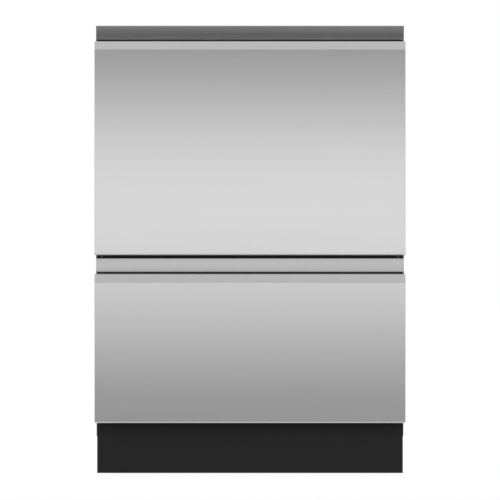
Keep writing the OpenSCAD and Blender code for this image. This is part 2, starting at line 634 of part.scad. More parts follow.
module tub(d) color("#8f9598") {
  difference() {
    union() {
      dish([-tub_x, tub_y0, flr(d) - floor_t], [tub_x, tub_y1, rim(d)], tub_r, tub_foot_r + floor_t);
      translate([0, 0, rim(d) - 3]) linear_extrude(3)
        round_rect([-tub_x - flange, tub_y0], [tub_x + flange, tub_y1 + flange], tub_r);
      // Bands round the outside
      for (f = [0.45, 0.75]) translate([0, 0, flr(d) + f * (rim(d) - flr(d))]) linear_extrude(4)
        round_rect([-tub_x - 2, tub_y0], [tub_x + 2, tub_y1 + 2], tub_r);
      translate([0, tub_cy, flr(d) - sump_d - floor_t])
        cylinder(h = sump_d + 1, r1 = sump_r - 28, r2 = sump_r + 2);
    }
    dish([-tub_ix, tub_iy0, flr(d)], [tub_ix, tub_iy1, rim(d) + e], tub_r - tub_t, tub_foot_r);
    translate([0, tub_cy, flr(d) - sump_d]) cylinder(h = sump_d + e, r1 = sump_r - 30, r2 = sump_r + 0.7);
  }
  // Post that the rotor and the spray arm turn on, and the boss at its foot
  rod_up([0, tub_cy, flr(d) - sump_d - 1], sump_d + hub_top + 1 - seat, post_d / 2);
  rod_up([0, tub_cy, flr(d) - sump_d - 1], 4, post_d / 2 + 7);
  for (x = [-ped_x, ped_x], y = [tub_cy - ped_y, tub_cy + ped_y])
    translate([x, y, flr(d) - 1]) cylinder(h = basket_lift + 1, r1 = ped_r + 2, r2 = ped_r - 2);
}

// Drawer members, with the blocks that carry the tub on them
module tub_runners(d) color("#b7b9bb") both() {
  x0 = in_x - runner_w - 2;
  channel(x0, in_x - 2 * runner_t - 2 * nest, inner_h, run_z(d), run_y0 + 6, tub_y1 - 5, x0);
  for (y = [tub_y0 + tub_r + 5, tub_cy - 20, tub_y1 - tub_r - 45])
    box([tub_x, y, run_z(d) - 9], [x0 + e, y + 40, run_z(d) + 9]);
}

module middle_runners(d) color("#9fa2a4") both()
  channel(in_x - runner_w + nest, in_x - runner_t - nest, mid_h, run_z(d), run_y0 + 2, run_y1 - 8,
          in_x - 2 * runner_t - nest);

module pump_motor(d) color("#2b2c2e") {
  z0 = flr(d) - pump_drop;
  z1 = flr(d) - sump_d - floor_t;
  translate([0, tub_cy, 0]) rotate_extrude() polygon([
    [0, z0], [70, z0], [78, z0 + 4], [78, z1 - 8], [86, z1 - 8], [86, z1 - 4], [60, z1 - 4],
    [60, z1], [0, z1]]);
  for (a = [0 : 30 : 330]) translate([0, tub_cy, 0]) rotate([0, 0, a])
    box([76, -1, z0 + 5], [84, 1, z1 - 7]);
  // Drain pump beside the sump
  rod_y([104, tub_cy - 20, z0 + 17], 44, 16);
  rod_y([104, tub_cy + 24, z0 + 17], 12, 10);
  rod_x([70, tub_cy, z0 + 14], 20, 8);
}

module pump_rotor(d) color("#e8e6df") {
  z0 = flr(d) - sump_d + 3 + seat;
  z1 = flr(d) - 4;
  translate([0, tub_cy, z0]) difference() {
    union() {
      cylinder(h = 3, r = 38);
      cylinder(h = z1 - z0, r = post_d / 2 + 5);
      for (a = [0 : 60 : 300]) rotate([0, 0, a]) box([post_d / 2 + 4, 4, 2], [37, 6, z1 - z0 - 2]);
    }
    translate([0, 0, -e]) cylinder(h = z1 - z0 + 2 * e, r = post_d / 2 + fit);
  }
}

drain_at = 56;                            // drain filter, out from the middle of the tub
drain_hole_r = 15;
filter_t = 3;
ring_top = 8;                             // ring that carries the spray arm, above the floor
module filters(d) color("#b9bdbf") translate([0, tub_cy, flr(d)]) {
  // Filter plate, perforated in rings
  difference() {
    union() {
      cylinder(h = filter_t, r = filter_r);
      cylinder(h = ring_top - seat, r = post_d / 2 + 10);
    }
    translate([0, 0, -e]) cylinder(h = ring_top + 1, r = post_d / 2 + 1);
    translate([drain_at, 0, -e]) cylinder(h = filter_t + 1, r = drain_hole_r + seat);
    for (r = [30, 82]) for (a = [20 : 20 : 340]) rotate([0, 0, a])
      translate([r, 0, -e]) cylinder(h = filter_t + 1, r = r / 14);
  }
  // Drain filter: a cup with a handle
  translate([drain_at, 0, 0]) {
    difference() {
      union() {
        translate([0, 0, -9]) cylinder(h = 14, r = drain_hole_r);
        translate([0, 0, filter_t]) cylinder(h = 2, r = drain_hole_r + 5);
      }
      translate([0, 0, -7]) cylinder(h = 13, r = drain_hole_r - 2);
    }
    box([-drain_hole_r, -1.5, 3], [drain_hole_r, 1.5, 9]);
  }
}

arm_z = 13;                               // underside of the spray arm above the tub's floor
arm_t = 12;
tip_t = 6;                                // thickness at the arm's tips
tip_x = arm_r - 4 - tip_t / 2;
module spray_arm(d) color("#3c4043") translate([0, tub_cy, flr(d)]) difference() {
  union() {
    translate([0, 0, ring_top]) cylinder(h = arm_z + arm_t + 7 - ring_top, r = post_d / 2 + 11);
    // Each half is its outline from above, thinned towards the tip by its outline from the side
    for (s = [0, 180]) rotate([0, 0, s]) intersection() {
      translate([0, 0, arm_z]) linear_extrude(arm_t) {
        circle(r = 26);
        polygon([[0, -22], [arm_r - 60, -18], [arm_r - 16, 2], [arm_r - 12, 22], [arm_r - 60, 14], [0, 24]]);
        translate([arm_r - 14, 12]) circle(r = 10);
      }
      translate([0, 40, arm_z]) rotate([90, 0, 0]) linear_extrude(80) {
        polygon([[-30, 0], [40, 0], [tip_x, arm_t - 3 - tip_t], [tip_x, arm_t - 3], [40, arm_t],
                 [-30, arm_t]]);
        translate([tip_x, arm_t - 3 - tip_t / 2]) circle(tip_t / 2);
      }
    }
  }
  translate([0, 0, ring_top - e]) cylinder(h = hub_top - ring_top + e, r = post_d / 2 + fit);
  // Jets, larger towards the tips
  for (s = [0, 180]) rotate([0, 0, s]) for (i = [0 : jet_count - 1]) {
    f = i / (jet_count - 1);
    translate([36 + f * (arm_r - 72), -4 + 10 * f * f, arm_z + arm_t - 4])
      cylinder(h = 5, r = 1.6 + 0.7 * f);
  }
}

// Baskets: grids of wires, welded where they cross: a floor, four sides and rows of tines

// A wire along X at y = 0, bent up at both ends, from x = -half to half and z = zb to zt
module u_wire(half, zb, zt) {
  rod_x([-half + wire_bend, 0, zb], 2 * (half - wire_bend), wr);
  for (s = [0, 1]) mirror([s, 0, 0]) {
    rod_up([half, 0, zb + wire_bend], zt - zb - wire_bend, wr);
    translate([half - wire_bend, 0, zb + wire_bend]) rotate([90, 0, 0])
      rotate_extrude(start = 270, angle = 90) translate([wire_bend, 0]) circle(wr);
  }
}

// Wire bent into a closed loop with round corners, its middle on the rectangle from a to b
module wire_loop(a, b, z, rc, r) {
  for (y = [a[1], b[1]]) rod_x([a[0] + rc, y, z], b[0] - a[0] - 2 * rc, r);
  for (x = [a[0], b[0]]) rod_y([x, a[1] + rc, z], b[1] - a[1] - 2 * rc, r);
  for (c = [[a[0] + rc, a[1] + rc, 180], [b[0] - rc, a[1] + rc, 270],
            [b[0] - rc, b[1] - rc, 0], [a[0] + rc, b[1] - rc, 90]])
    translate([c[0], c[1], z]) rotate_extrude(start = c[2], angle = 90) translate([rc, 0]) circle(r);
}

rim_out = wr + rr - bite;                 // rim wire stands this far outside the side wires
loop_r = 24;

// Loop that stands out past the middle of the side wires
module side_loop(out, z, r)
  wire_loop([-bas_x - out, bas_y0 - out], [bas_x + out, bas_y1 + out], z, loop_r, r);

module basket(d) color("#c9ccce") {
  zb = bas_z(d);
  zt = bas_top(d);
  zc = zb + cross_lift;
  difference() {
    union() {
      for (i = [0 : cross_n - 1]) translate([0, cross_y(i), 0]) u_wire(bas_x, zc, zt);
      for (i = [0 : long_n - 1]) translate([long_x0 + i * long_pitch, (bas_y0 + bas_y1) / 2, 0])
        rotate([0, 0, 90]) u_wire((bas_y1 - bas_y0) / 2, zb, zt);
      side_loop(rim_out, zt, rr);
      side_loop(wire_d - bite, zb + 0.45 * (zt - zb), wr);
      // Clips for the folding tines
      for (i = [0, floor(tine_n / 2) - 1, tine_n - 2])
        rod_x([tine_x0 + (i + 0.5) * tine_pitch - 3, cross_y(fold_row), rod_z(d)], 6, clip_r);
      // Clips for the cup rack
      for (i = [2, cross_n - 3]) rod_y([rack_x, cross_y(i) - 4, rack_z(d)], 8, rack_rod_r + 2.2);
    }
    rod_x([tine_x0 - 20, cross_y(fold_row), rod_z(d)], tine_x1 - tine_x0 + 40, rod_r + fit);
    for (i = [2, cross_n - 3]) rod_y([rack_x, cross_y(i) - 5, rack_z(d)], 10, rack_rod_r + fit);
    // Seam between the floor grid and the four side grids, part way up the bends, and corner mitres
    translate([0, 0, zb + seam_at * wire_bend - seam / 2]) linear_extrude(seam) difference() {
      round_rect([-bas_x - loop_r, bas_y0 - loop_r], [bas_x + loop_r, bas_y1 + loop_r], loop_r);
      translate([-bas_x + wire_bend, bas_y0 + wire_bend])
        square([2 * (bas_x - wire_bend), bas_y1 - bas_y0 - 2 * wire_bend]);
    }
    for (c = [[bas_x, bas_y0, -45], [bas_x, bas_y1, 45], [-bas_x, bas_y1, 135], [-bas_x, bas_y0, 225]])
      translate([c[0], c[1], zb + seam_at * wire_bend]) rotate([0, 0, c[2]])
        box([-loop_r, -seam / 2, 0], [loop_r, seam / 2, zt - zb + loop_r]);
  }
  for (row = fixed_rows) tine_row(cross_y(row) + wire_pitch / 2, zb + wr + seam + rod_r, tine_h);
}

// A row of tines on a rod
module tine_row(y, z, h) {
  rod_x([tine_x0 - 8, y, z], (tine_n - 1) * tine_pitch + 16, rod_r);
  for (i = [0 : tine_n - 1]) {
    rod_up([tine_x0 + i * tine_pitch, y, z], h - tine_r, tine_r);
    translate([tine_x0 + i * tine_pitch, y, z + h - tine_r]) sphere(tine_r);
  }
}

// The row that turns in the basket's clips
module tines(d) color("#9fa4a8") tine_row(cross_y(fold_row), rod_z(d), tine_h - 4);

rack_n = 6;
module cup_rack(d) color("#9fa4a8") {
  rod_y([rack_x, rack_y0 - 14, rack_z(d)], rack_y1 - rack_y0 + 28, rack_rod_r);
  rod_y([rack_x - rack_reach, rack_y0 - wr, rack_z(d)], rack_y1 - rack_y0 + wire_d, wr);
  for (i = [0 : rack_n - 1])
    rod_x([rack_x - rack_reach, rack_y0 + i * (rack_y1 - rack_y0) / (rack_n - 1), rack_z(d)],
          rack_reach, wr);
}

// Detergent dispenser on the front wall of a tub, with a door that slides across its cup

dis_x = 72;                               // half the width
dis_h = 80;
dis_d = 14.5;
cup_w = 52;
cup_x0 = -62;
door_t = 2.5;
door_run = 60;
rail_in = 5;                              // how far the door's rails reach over it
function dis_z(d) = rim(d) - 130;
module dispenser(d) color("#c9c6bd") {
  y1 = tub_iy0 + dis_d;
  z0 = dis_z(d);
  difference() {
    box([-dis_x, tub_iy0, z0], [dis_x, y1, z0 + dis_h]);
    translate([0, y1 + e, z0 + 14]) rotate([90, 0, 0]) linear_extrude(dis_d - 2)
      round_rect([cup_x0 + 4, 0], [cup_x0 + cup_w, dis_h - 28], 8);
  }
  // Rails that the door slides between
  for (s = [0, 1]) translate([0, 0, z0 + dis_h / 2]) mirror([0, 0, s]) {
    box([-dis_x, y1 - e, dis_h / 2 - 5], [dis_x, y1 + door_t + 2 * seat + 2, dis_h / 2]);
    box([-dis_x, y1 + door_t + 2 * seat, dis_h / 2 - 5 - rail_in],
        [dis_x, y1 + door_t + 2 * seat + 2, dis_h / 2 - 5 + e]);
  }
}

module dispenser_door(d) color("#6b7075") {
  y1 = tub_iy0 + dis_d + seat;
  z0 = dis_z(d) + 5 + seat;
  z1 = dis_z(d) + dis_h - 5 - seat;
  difference() {
    box([cup_x0 - 6, y1, z0], [cup_x0 + cup_w + 6, y1 + door_t, z1]);
    box([cup_x0 - 7, y1 + door_t - 1, (z0 + z1) / 2 - 3], [cup_x0 + 4, y1 + door_t + e, (z0 + z1) / 2 + 3]);
  }
  // Ribs for the thumb
  for (i = [0 : 3]) box([cup_x0 + 14 + i * 6, y1 + door_t - e, (z0 + z1) / 2 - 14],
                        [cup_x0 + 16 + i * 6, y1 + door_t + 1.5, (z0 + z1) / 2 + 14]);
}

// Lids hang in the chassis by four pins, and come down on the tubs

lid_in = 2;
module lid(d) color("#dfe1e0") {
  z0 = rim(d) + seat + seal_h;
  a = [-tub_x - flange + lid_in, tub_y0 + 1];
  b = [tub_x + flange - lid_in, tub_y1 + flange - lid_in];
  difference() {
    translate([0, 0, z0]) linear_extrude(lid_h) round_rect(a, b, tub_r);
    // Panels between the ribs
    for (i = [0 : 3], j = [0 : 2]) {
      w = (b[0] - a[0] - 30) / 4;
      l = (b[1] - a[1] - 30) / 3;
      translate([a[0] + 15 + i * w, a[1] + 15 + j * l, z0 + 3]) linear_extrude(lid_h)
        round_rect([1.2, 1.2], [w - 1.2, l - 1.2], 12);
    }
  }
  both() {
    box([b[0] - e, tub_cy - 12, pin_z(d) - 4], [in_x - act_w - 0.8, tub_cy + 12, pin_z(d) + 4]);
    rod_x([in_x - act_w - 1, tub_cy, pin_z(d)], act_w - 3, pin_r);
  }
}

module lid_seal(d) color("#2a2b2c") {
  a = [-tub_x - flange + lid_in + 1, tub_y0 + 1.5];
  b = [tub_x + flange - lid_in - 1, tub_y1 + flange - lid_in - 1];
  translate([0, 0, rim(d) + seat]) linear_extrude(seal_h) difference() {
    round_rect(a, b, tub_r - 1);
    round_rect([a[0] + 9, a[1] + 9], [b[0] - 9, b[1] - 9], tub_r - 10);
  }
}

// Cutlery basket at the front right of the upper basket
cut_a = [tine_x1 + 14, bas_y0 + wire_bend + 3];
cut_b = [bas_x - wire_bend - 3, rack_y0 - 20];
cut_h = 110;
cut_t = 2;
module cutlery_basket() color("#55595c") {
  z0 = bas_z(UPPER) + cross_lift + wr + seat;
  w = cut_b[0] - cut_a[0];
  l = cut_b[1] - cut_a[1];
  translate([cut_a[0], cut_a[1], z0]) {
    difference() {
      linear_extrude(cut_h) round_rect([0, 0], [w, l], 8);
      translate([0, 0, cut_t]) linear_extrude(cut_h) {
        round_rect([cut_t, cut_t], [w / 2 - 1, l - cut_t], 6);
        round_rect([w / 2 + 1, cut_t], [w - cut_t, l - cut_t], 6);
      }
      // Slots in the walls and the floor
      for (i = [0 : 6], z = [10, 60]) {
        box([11 + i * (w - 26) / 6, -e, z], [15 + i * (w - 26) / 6, l + e, z + 38]);
        box([-e, 9 + i * (l - 22) / 6, z], [w / 2 - 2, 13 + i * (l - 22) / 6, z + 38]);
        box([w / 2 + 2, 9 + i * (l - 22) / 6, z], [w + e, 13 + i * (l - 22) / 6, z + 38]);
      }
      for (i = [0 : 5], x = [8, w / 2 + 6])
        box([x, 10 + i * (l - 24) / 5, -e], [x + w / 2 - 16, 13 + i * (l - 24) / 5, cut_t + e]);
    }
    // Bow handle over the middle wall
    translate([w / 2 - 2, 0, cut_h - 1]) difference() {
      box([0, l / 2 - 24, 0], [4, l / 2 + 24, 22]);
      box([-e, l / 2 - 19, -e], [4 + e, l / 2 + 19, 16]);
    }
  }
}

// Nodes
module upper_front_skin() front_skin(UPPER);
module upper_handle_strip() handle_strip(UPPER);
module upper_front_frame() front_frame(UPPER);
module upper_control_strip() control_strip(UPPER);
module upper_power_button() button(UPPER, -button_x);
module upper_start_button() button(UPPER, button_x);
module upper_tub() tub(UPPER);
module upper_tub_runners() tub_runners(UPPER);
module upper_middle_runners() middle_runners(UPPER);
module upper_pump_motor() pump_motor(UPPER);
module upper_pump_rotor() pump_rotor(UPPER);
module upper_filters() filters(UPPER);
module upper_spray_arm() spray_arm(UPPER);
module upper_basket() basket(UPPER);
module upper_tines() tines(UPPER);
module upper_cup_rack() cup_rack(UPPER);
module upper_dispenser() dispenser(UPPER);
module upper_dispenser_door() dispenser_door(UPPER);
module upper_lid() lid(UPPER);
module upper_lid_seal() lid_seal(UPPER);
module lower_front_skin() front_skin(LOWER);
module lower_handle_strip() handle_strip(LOWER);
module lower_front_frame() front_frame(LOWER);
module lower_control_strip() control_strip(LOWER);
module lower_power_button() button(LOWER, -button_x);
module lower_start_button() button(LOWER, button_x);
module lower_tub() tub(LOWER);
module lower_tub_runners() tub_runners(LOWER);
module lower_middle_runners() middle_runners(LOWER);
module lower_pump_motor() pump_motor(LOWER);
module lower_pump_rotor() pump_rotor(LOWER);
module lower_filters() filters(LOWER);
module lower_spray_arm() spray_arm(LOWER);
module lower_basket() basket(LOWER);
module lower_tines() tines(LOWER);
module lower_cup_rack() cup_rack(LOWER);
module lower_dispenser() dispenser(LOWER);
module lower_dispenser_door() dispenser_door(LOWER);
module lower_lid() lid(LOWER);
module lower_lid_seal() lid_seal(LOWER);

side_panels();
rear_panel();
top_panel();
cross_rail();
base_tray();
kick_plate();
brackets();
side_trims();
cabinet_runners();
lid_actuators();
inlet_valve();
drain_outlet();
mains_bush();
control_module();
chassis_screws();
foot_front_left();
foot_front_right();
foot_rear_left();
foot_rear_right();
upper_front_skin();
upper_handle_strip();
upper_front_frame();
upper_control_strip();
upper_power_button();
upper_start_button();
upper_tub();
upper_tub_runners();
upper_middle_runners();
upper_pump_motor();
upper_pump_rotor();
upper_filters();
upper_spray_arm();
upper_basket();
upper_tines();
upper_cup_rack();
upper_dispenser();
upper_dispenser_door();
upper_lid();
upper_lid_seal();
lower_front_skin();
lower_handle_strip();
lower_front_frame();
lower_control_strip();
lower_power_button();
lower_start_button();
lower_tub();
lower_tub_runners();
lower_middle_runners();
lower_pump_motor();
lower_pump_rotor();
lower_filters();
lower_spray_arm();
lower_basket();
lower_tines();
lower_cup_rack();
lower_dispenser();
lower_dispenser_door();
lower_lid();
lower_lid_seal();
cutlery_basket();
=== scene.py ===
"""Looks of a built-in dishwasher with two drawers, one above the other, over a black toe kick.

Metres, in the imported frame: X to the right, Y to the back, Z up, origin on the floor.
"""
import json
import math
import bmesh
import bpy
import numpy as np
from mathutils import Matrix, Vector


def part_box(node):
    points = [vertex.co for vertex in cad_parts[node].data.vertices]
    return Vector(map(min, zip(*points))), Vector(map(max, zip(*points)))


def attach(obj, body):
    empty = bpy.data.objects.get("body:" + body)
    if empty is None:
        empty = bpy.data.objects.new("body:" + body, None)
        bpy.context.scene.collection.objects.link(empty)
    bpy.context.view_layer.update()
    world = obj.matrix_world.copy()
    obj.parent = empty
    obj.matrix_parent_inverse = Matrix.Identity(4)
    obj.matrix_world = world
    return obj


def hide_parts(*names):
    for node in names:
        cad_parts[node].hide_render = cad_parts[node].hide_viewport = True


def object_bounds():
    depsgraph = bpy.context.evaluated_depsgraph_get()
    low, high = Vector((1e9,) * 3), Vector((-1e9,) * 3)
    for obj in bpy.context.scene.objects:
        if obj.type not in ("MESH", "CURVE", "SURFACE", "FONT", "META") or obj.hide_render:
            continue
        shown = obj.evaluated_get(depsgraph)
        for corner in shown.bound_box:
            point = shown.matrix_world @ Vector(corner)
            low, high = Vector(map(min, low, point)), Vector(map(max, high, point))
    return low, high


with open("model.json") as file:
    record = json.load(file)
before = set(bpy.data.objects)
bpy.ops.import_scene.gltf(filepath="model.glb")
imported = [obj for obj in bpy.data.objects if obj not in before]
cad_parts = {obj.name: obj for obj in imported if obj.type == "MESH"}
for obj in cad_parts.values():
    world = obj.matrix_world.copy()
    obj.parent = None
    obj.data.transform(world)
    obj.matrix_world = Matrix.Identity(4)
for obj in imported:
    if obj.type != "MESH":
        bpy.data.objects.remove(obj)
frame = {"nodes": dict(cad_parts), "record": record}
cad_low, cad_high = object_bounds()
MM = 0.001
NODES = frame["nodes"]
BODY_OF = {n: b for b, ns in frame["record"]["behaviour"]["bodies"].items() for n in ns}
SLOT_OF = {s["node"]: s["material_slot"] for s in frame["record"]["subparts"]}
DRAWERS = ("upper", "lower")

# ---------------------------------------------------------------- camera, light and floor

PHOTO_PX = 500                        # side of the photograph
MM_PER_PX = 1.9245                    # real size of its pixel on the drawer fronts
FLOOR_ROW = 474.53                    # pixel row of the floor line
CAMERA_AWAY = 12.0                    # camera to the drawer fronts
SENSOR = 36.0


def add_camera():
    """Long lens looking along +Y, with the fronts at the photograph's scale."""
    span = PHOTO_PX * MM_PER_PX * MM
    cam = bpy.data.cameras.new("camera")
    cam.sensor_width = SENSOR
    cam.lens = SENSOR * CAMERA_AWAY / span
    cam.clip_end = 100.0
    obj = bpy.data.objects.new("camera", cam)
    obj.location = (0.0, cad_low.y - CAMERA_AWAY, (FLOOR_ROW - PHOTO_PX / 2) * MM_PER_PX * MM)
    obj.rotation_euler = (math.pi / 2, 0.0, 0.0)
    bpy.context.scene.collection.objects.link(obj)
    bpy.context.scene.camera = obj


def plane(name, corners):
    """A flat four-cornered sheet through the given corners, as a stage piece."""
    mesh = bpy.data.meshes.new(name)
    mesh.from_pydata([tuple(c) for c in corners], [], [(0, 1, 2, 3)])
    obj = bpy.data.objects.new(name, mesh)
    bpy.context.scene.collection.objects.link(obj)
    return obj


def tree_of(material):
    """The material's node tree, emptied."""
    material.use_nodes = True
    t = material.node_tree
    t.nodes.clear()
    return t


def node(t, kind, links=(), **values):
    """Adds a node; values set its properties or sockets, links join (input name, output socket)."""
    n = t.nodes.new(kind)
    for key, value in values.items():
        if hasattr(n, key):
            setattr(n, key, value)
        else:
            n.inputs[key.replace("_", " ")].default_value = value
    for key, source in links:
        t.links.new(source, n.inputs[key])
    return n


def emitter(name, corners, stops, vertical=True):
    """A soft light card: a glowing sheet whose strength follows stops of (place in metres, strength).

    The place is a height on an upright card, and Y on a level one."""
    obj = plane(name, corners)
    mat = bpy.data.materials.new(name)
    t = tree_of(mat)
    at = node(t, "ShaderNodeSeparateXYZ", [("Vector", node(t, "ShaderNodeTexCoord").outputs["Object"])])
    low, high = stops[0][0], stops[-1][0]
    place = node(t, "ShaderNodeMapRange", [("Value", at.outputs["Z" if vertical else "Y"])],
                 From_Min=low, From_Max=high)
    curve = node(t, "ShaderNodeFloatCurve", [("Value", place.outputs["Result"])])
    points = curve.mapping.curves[0].points
    top = max(s for _, s in stops)
    while len(points) < len(stops):
        points.new(0.5, 0.5)
    for p, (along, s) in zip(points, stops):
        p.location = ((along - low) / (high - low), s / top)
        p.handle_type = "VECTOR"
    curve.mapping.update()
    glow = node(t, "ShaderNodeEmission", [("Color", curve.outputs["Value"])], Strength=top)
    t.links.new(glow.outputs[0], node(t, "ShaderNodeOutputMaterial").inputs["Surface"])
    obj.data.materials.append(mat)
    obj.visible_camera = False
    obj.visible_shadow = False
    return obj


def shown_rays(t):
    """1 for rays that show the background itself: from the camera, in metal and through glass."""
    ray = node(t, "ShaderNodeLightPath")
    seen = node(t, "ShaderNodeMath", [(0, ray.outputs["Is Camera Ray"]), (1, ray.outputs["Is Glossy Ray"])],
                operation="MAXIMUM")
    return node(t, "ShaderNodeMath", [(0, seen.outputs[0]), (1, ray.outputs["Is Transmission Ray"])],
                operation="MAXIMUM").outputs[0]


FLOOR_HALF = 30.0                     # half side of the floor
FLOOR_PAPER = (0.8, 0.8, 0.8, 1)      # its colour as it lights the object
FLOOR_SHADE = (0.22, 0.22, 0.22, 1)   # share of real light where it is seen, which holds the shadow
FLOOR_WHITE = 0.88                    # plain white where it is seen
WORLD_SOFT = 0.75                     # the world as light on dull surfaces
WHITE = (1, 1, 1, 1)


def add_floor():
    """Pale floor: nearly white where it is seen, with a faint share of real light for the shadow."""
    f = FLOOR_HALF
    obj = plane("floor", [(-f, -f, 0), (f, -f, 0), (f, f, 0), (-f, f, 0)])
    mat = bpy.data.materials.new("floor_paper")
    t = tree_of(mat)
    paper = node(t, "ShaderNodeBsdfDiffuse", Color=FLOOR_PAPER)
    shade = node(t, "ShaderNodeBsdfDiffuse", Color=FLOOR_SHADE)
    white = node(t, "ShaderNodeEmission", Strength=FLOOR_WHITE)
    seen = node(t, "ShaderNodeAddShader")
    t.links.new(shade.outputs[0], seen.inputs[0])
    t.links.new(white.outputs[0], seen.inputs[1])
    mix = node(t, "ShaderNodeMixShader", [("Fac", shown_rays(t))])
    t.links.new(paper.outputs[0], mix.inputs[1])
    t.links.new(seen.outputs[0], mix.inputs[2])
    t.links.new(mix.outputs[0], node(t, "ShaderNodeOutputMaterial").inputs["Surface"])
    obj.data.materials.append(mat)


def add_world():
    """White to the camera and in metal and glass, softer as light on dull surfaces."""
    world = bpy.data.worlds.new("studio")
    bpy.context.scene.world = world
    world.use_nodes = True
    t = world.node_tree
    t.nodes.clear()
    soft = node(t, "ShaderNodeBackground", Color=WHITE, Strength=WORLD_SOFT)
    white = node(t, "ShaderNodeBackground", Color=WHITE, Strength=1.0)
    mix = node(t, "ShaderNodeMixShader", [("Fac", shown_rays(t))])
    t.links.new(soft.outputs[0], mix.inputs[1])
    t.links.new(white.outputs[0], mix.inputs[2])
    t.links.new(mix.outputs[0], node(t, "ShaderNodeOutputWorld").inputs["Surface"])


CARD_AWAY = 1.2                       # front light card to the drawer fronts
CARD_HALF = 2.6                       # half width of the front card and of the flag
CARD_STOPS = [(-0.5, 0.0), (0.0, 0.0), (0.1, 0.15), (0.2, 0.7), (0.3, 1.05), (0.45, 1.4), (0.58, 1.65),
              (0.7, 1.2), (0.8, 0.4), (0.88, 0.05), (0.96, 0.1), (1.1, 0.5), (1.4, 0.7), (2.0, 0.85)]
TOP_Z = 2.2                           # card overhead: its height, half width and back edge
TOP_HALF = 2.0
TOP_BACK = 1.6
FLAG_AWAY = 0.35                      # grey flag on the floor: its back edge to the drawer fronts
FLAG_MIDDLE = 0.7                     # the place where it starts to brighten, to the drawer fronts
FLAG_Z = 0.002


def add_lights():
    """One tall soft card in front, brightest at the height of the upper front's lower half, one overhead,
    and a grey flag on the floor, seen only in the steel, that darkens the foot of the fronts."""
    y = cad_low.y - CARD_AWAY
    x, low, high = CARD_HALF, CARD_STOPS[0][0], CARD_STOPS[-1][0]
    emitter("front_card", [(-x, y, low), (x, y, low), (x, y, high), (-x, y, high)], CARD_STOPS)
    x, z, end = TOP_HALF, TOP_Z, TOP_BACK
    emitter("top_card", [(-x, y, z), (x, y, z), (x, end, z), (-x, end, z)],
            [(y, 0.8), (0.2, 0.85), (end, 0.85)], vertical=False)
    x, z, end = CARD_HALF, FLAG_Z, cad_low.y - FLAG_AWAY
    flag = emitter("floor_flag", [(-x, y, z), (x, y, z), (x, end, z), (-x, end, z)],
                   [(y, 0.12), (cad_low.y - FLAG_MIDDLE, 0.20), (end, 0.88)], vertical=False)
    flag.visible_diffuse = False


add_camera()
add_floor()
add_world()
add_lights()

scene = bpy.context.scene
scene.view_settings.view_transform = "Standard"

# ---------------------------------------------------------------- shader groups shared by the materials


def group(name, inputs, outputs):
    """An empty shader node group with named float inputs and typed outputs."""
    g = bpy.data.node_groups.new(name, "ShaderNodeTree")
    for key, value in inputs.items():
        s = g.interface.new_socket(key, in_out="INPUT", socket_type="NodeSocketFloat")
        s.default_value = value
    for key, kind in outputs.items():
        g.interface.new_socket(key, in_out="OUTPUT", socket_type="NodeSocket" + kind)
    return g, node(g, "NodeGroupInput"), node(g, "NodeGroupOutput")


def maths(t, operation, a, b):
    """One math node; each operand is an output socket or a number."""
    n = t.nodes.new("ShaderNodeMath")
    n.operation = operation
    for i, v in enumerate((a, b)):
        if isinstance(v, (int, float)):
            n.inputs[i].default_value = v
        else:
            t.links.new(v, n.inputs[i])
    return n.outputs[0]


def stretched(t, scale):
    """Object coordinates scaled by a vector, for patterns that run along one direction."""
    return node(t, "ShaderNodeMapping", [("Vector", node(t, "ShaderNodeTexCoord").outputs["Object"])],
                Scale=scale).outputs[0]


def noise(t, vector, scale, detail=2.0, rough=0.5):
    """Noise of the given size over a vector, as a value."""
    n = node(t, "ShaderNodeTexNoise", [("Vector", vector)], Scale=scale, Detail=detail, Roughness=rough)
    return n.outputs["Fac"]


def brush_group():
    """Brushing: fine lines along X, from noise squeezed in Y and Z, with a slow drift of tone."""
    g, gi, go = group("brushed_lines", {"Fine": 1.0, "Drift": 1.0}, {"Lines": "Float", "Drift": "Float"})
    fine = noise(g, stretched(g, (3.0, 900.0, 900.0)), 1.0, 3.0, 0.7)
    hair = noise(g, stretched(g, (14.0, 2600.0, 2600.0)), 1.0, 2.0, 0.6)
    both = maths(g, "ADD", maths(g, "MULTIPLY", fine, 0.6), maths(g, "MULTIPLY", hair, 0.4))
    lines = maths(g, "MULTIPLY", maths(g, "SUBTRACT", both, 0.5), gi.outputs["Fine"])
    slow = noise(g, stretched(g, (1.2, 6.0, 22.0)), 1.0, 2.0)
    drift = maths(g, "MULTIPLY", maths(g, "SUBTRACT", slow, 0.5), gi.outputs["Drift"])
    g.links.new(lines, go.inputs["Lines"])
    g.links.new(drift, go.inputs["Drift"])
    return g


def grain_group():
    """Moulded grain: small soft cells for the height, and a slow cloud for shine and tone."""
    g, gi, go = group("moulded_grain", {"Size": 900.0, "Cloud": 9.0}, {"Height": "Float", "Cloud": "Float"})
    at = stretched(g, (1.0, 1.0, 1.0))
    cells = node(g, "ShaderNodeTexVoronoi", [("Vector", at), ("Scale", gi.outputs["Size"])])
    cells.feature = "SMOOTH_F1"
    cloud = node(g, "ShaderNodeTexNoise", [("Vector", at), ("Scale", gi.outputs["Cloud"])], Detail=3.0)
    g.links.new(cells.outputs["Distance"], go.inputs["Height"])
    g.links.new(cloud.outputs["Fac"], go.inputs["Cloud"])
    return g


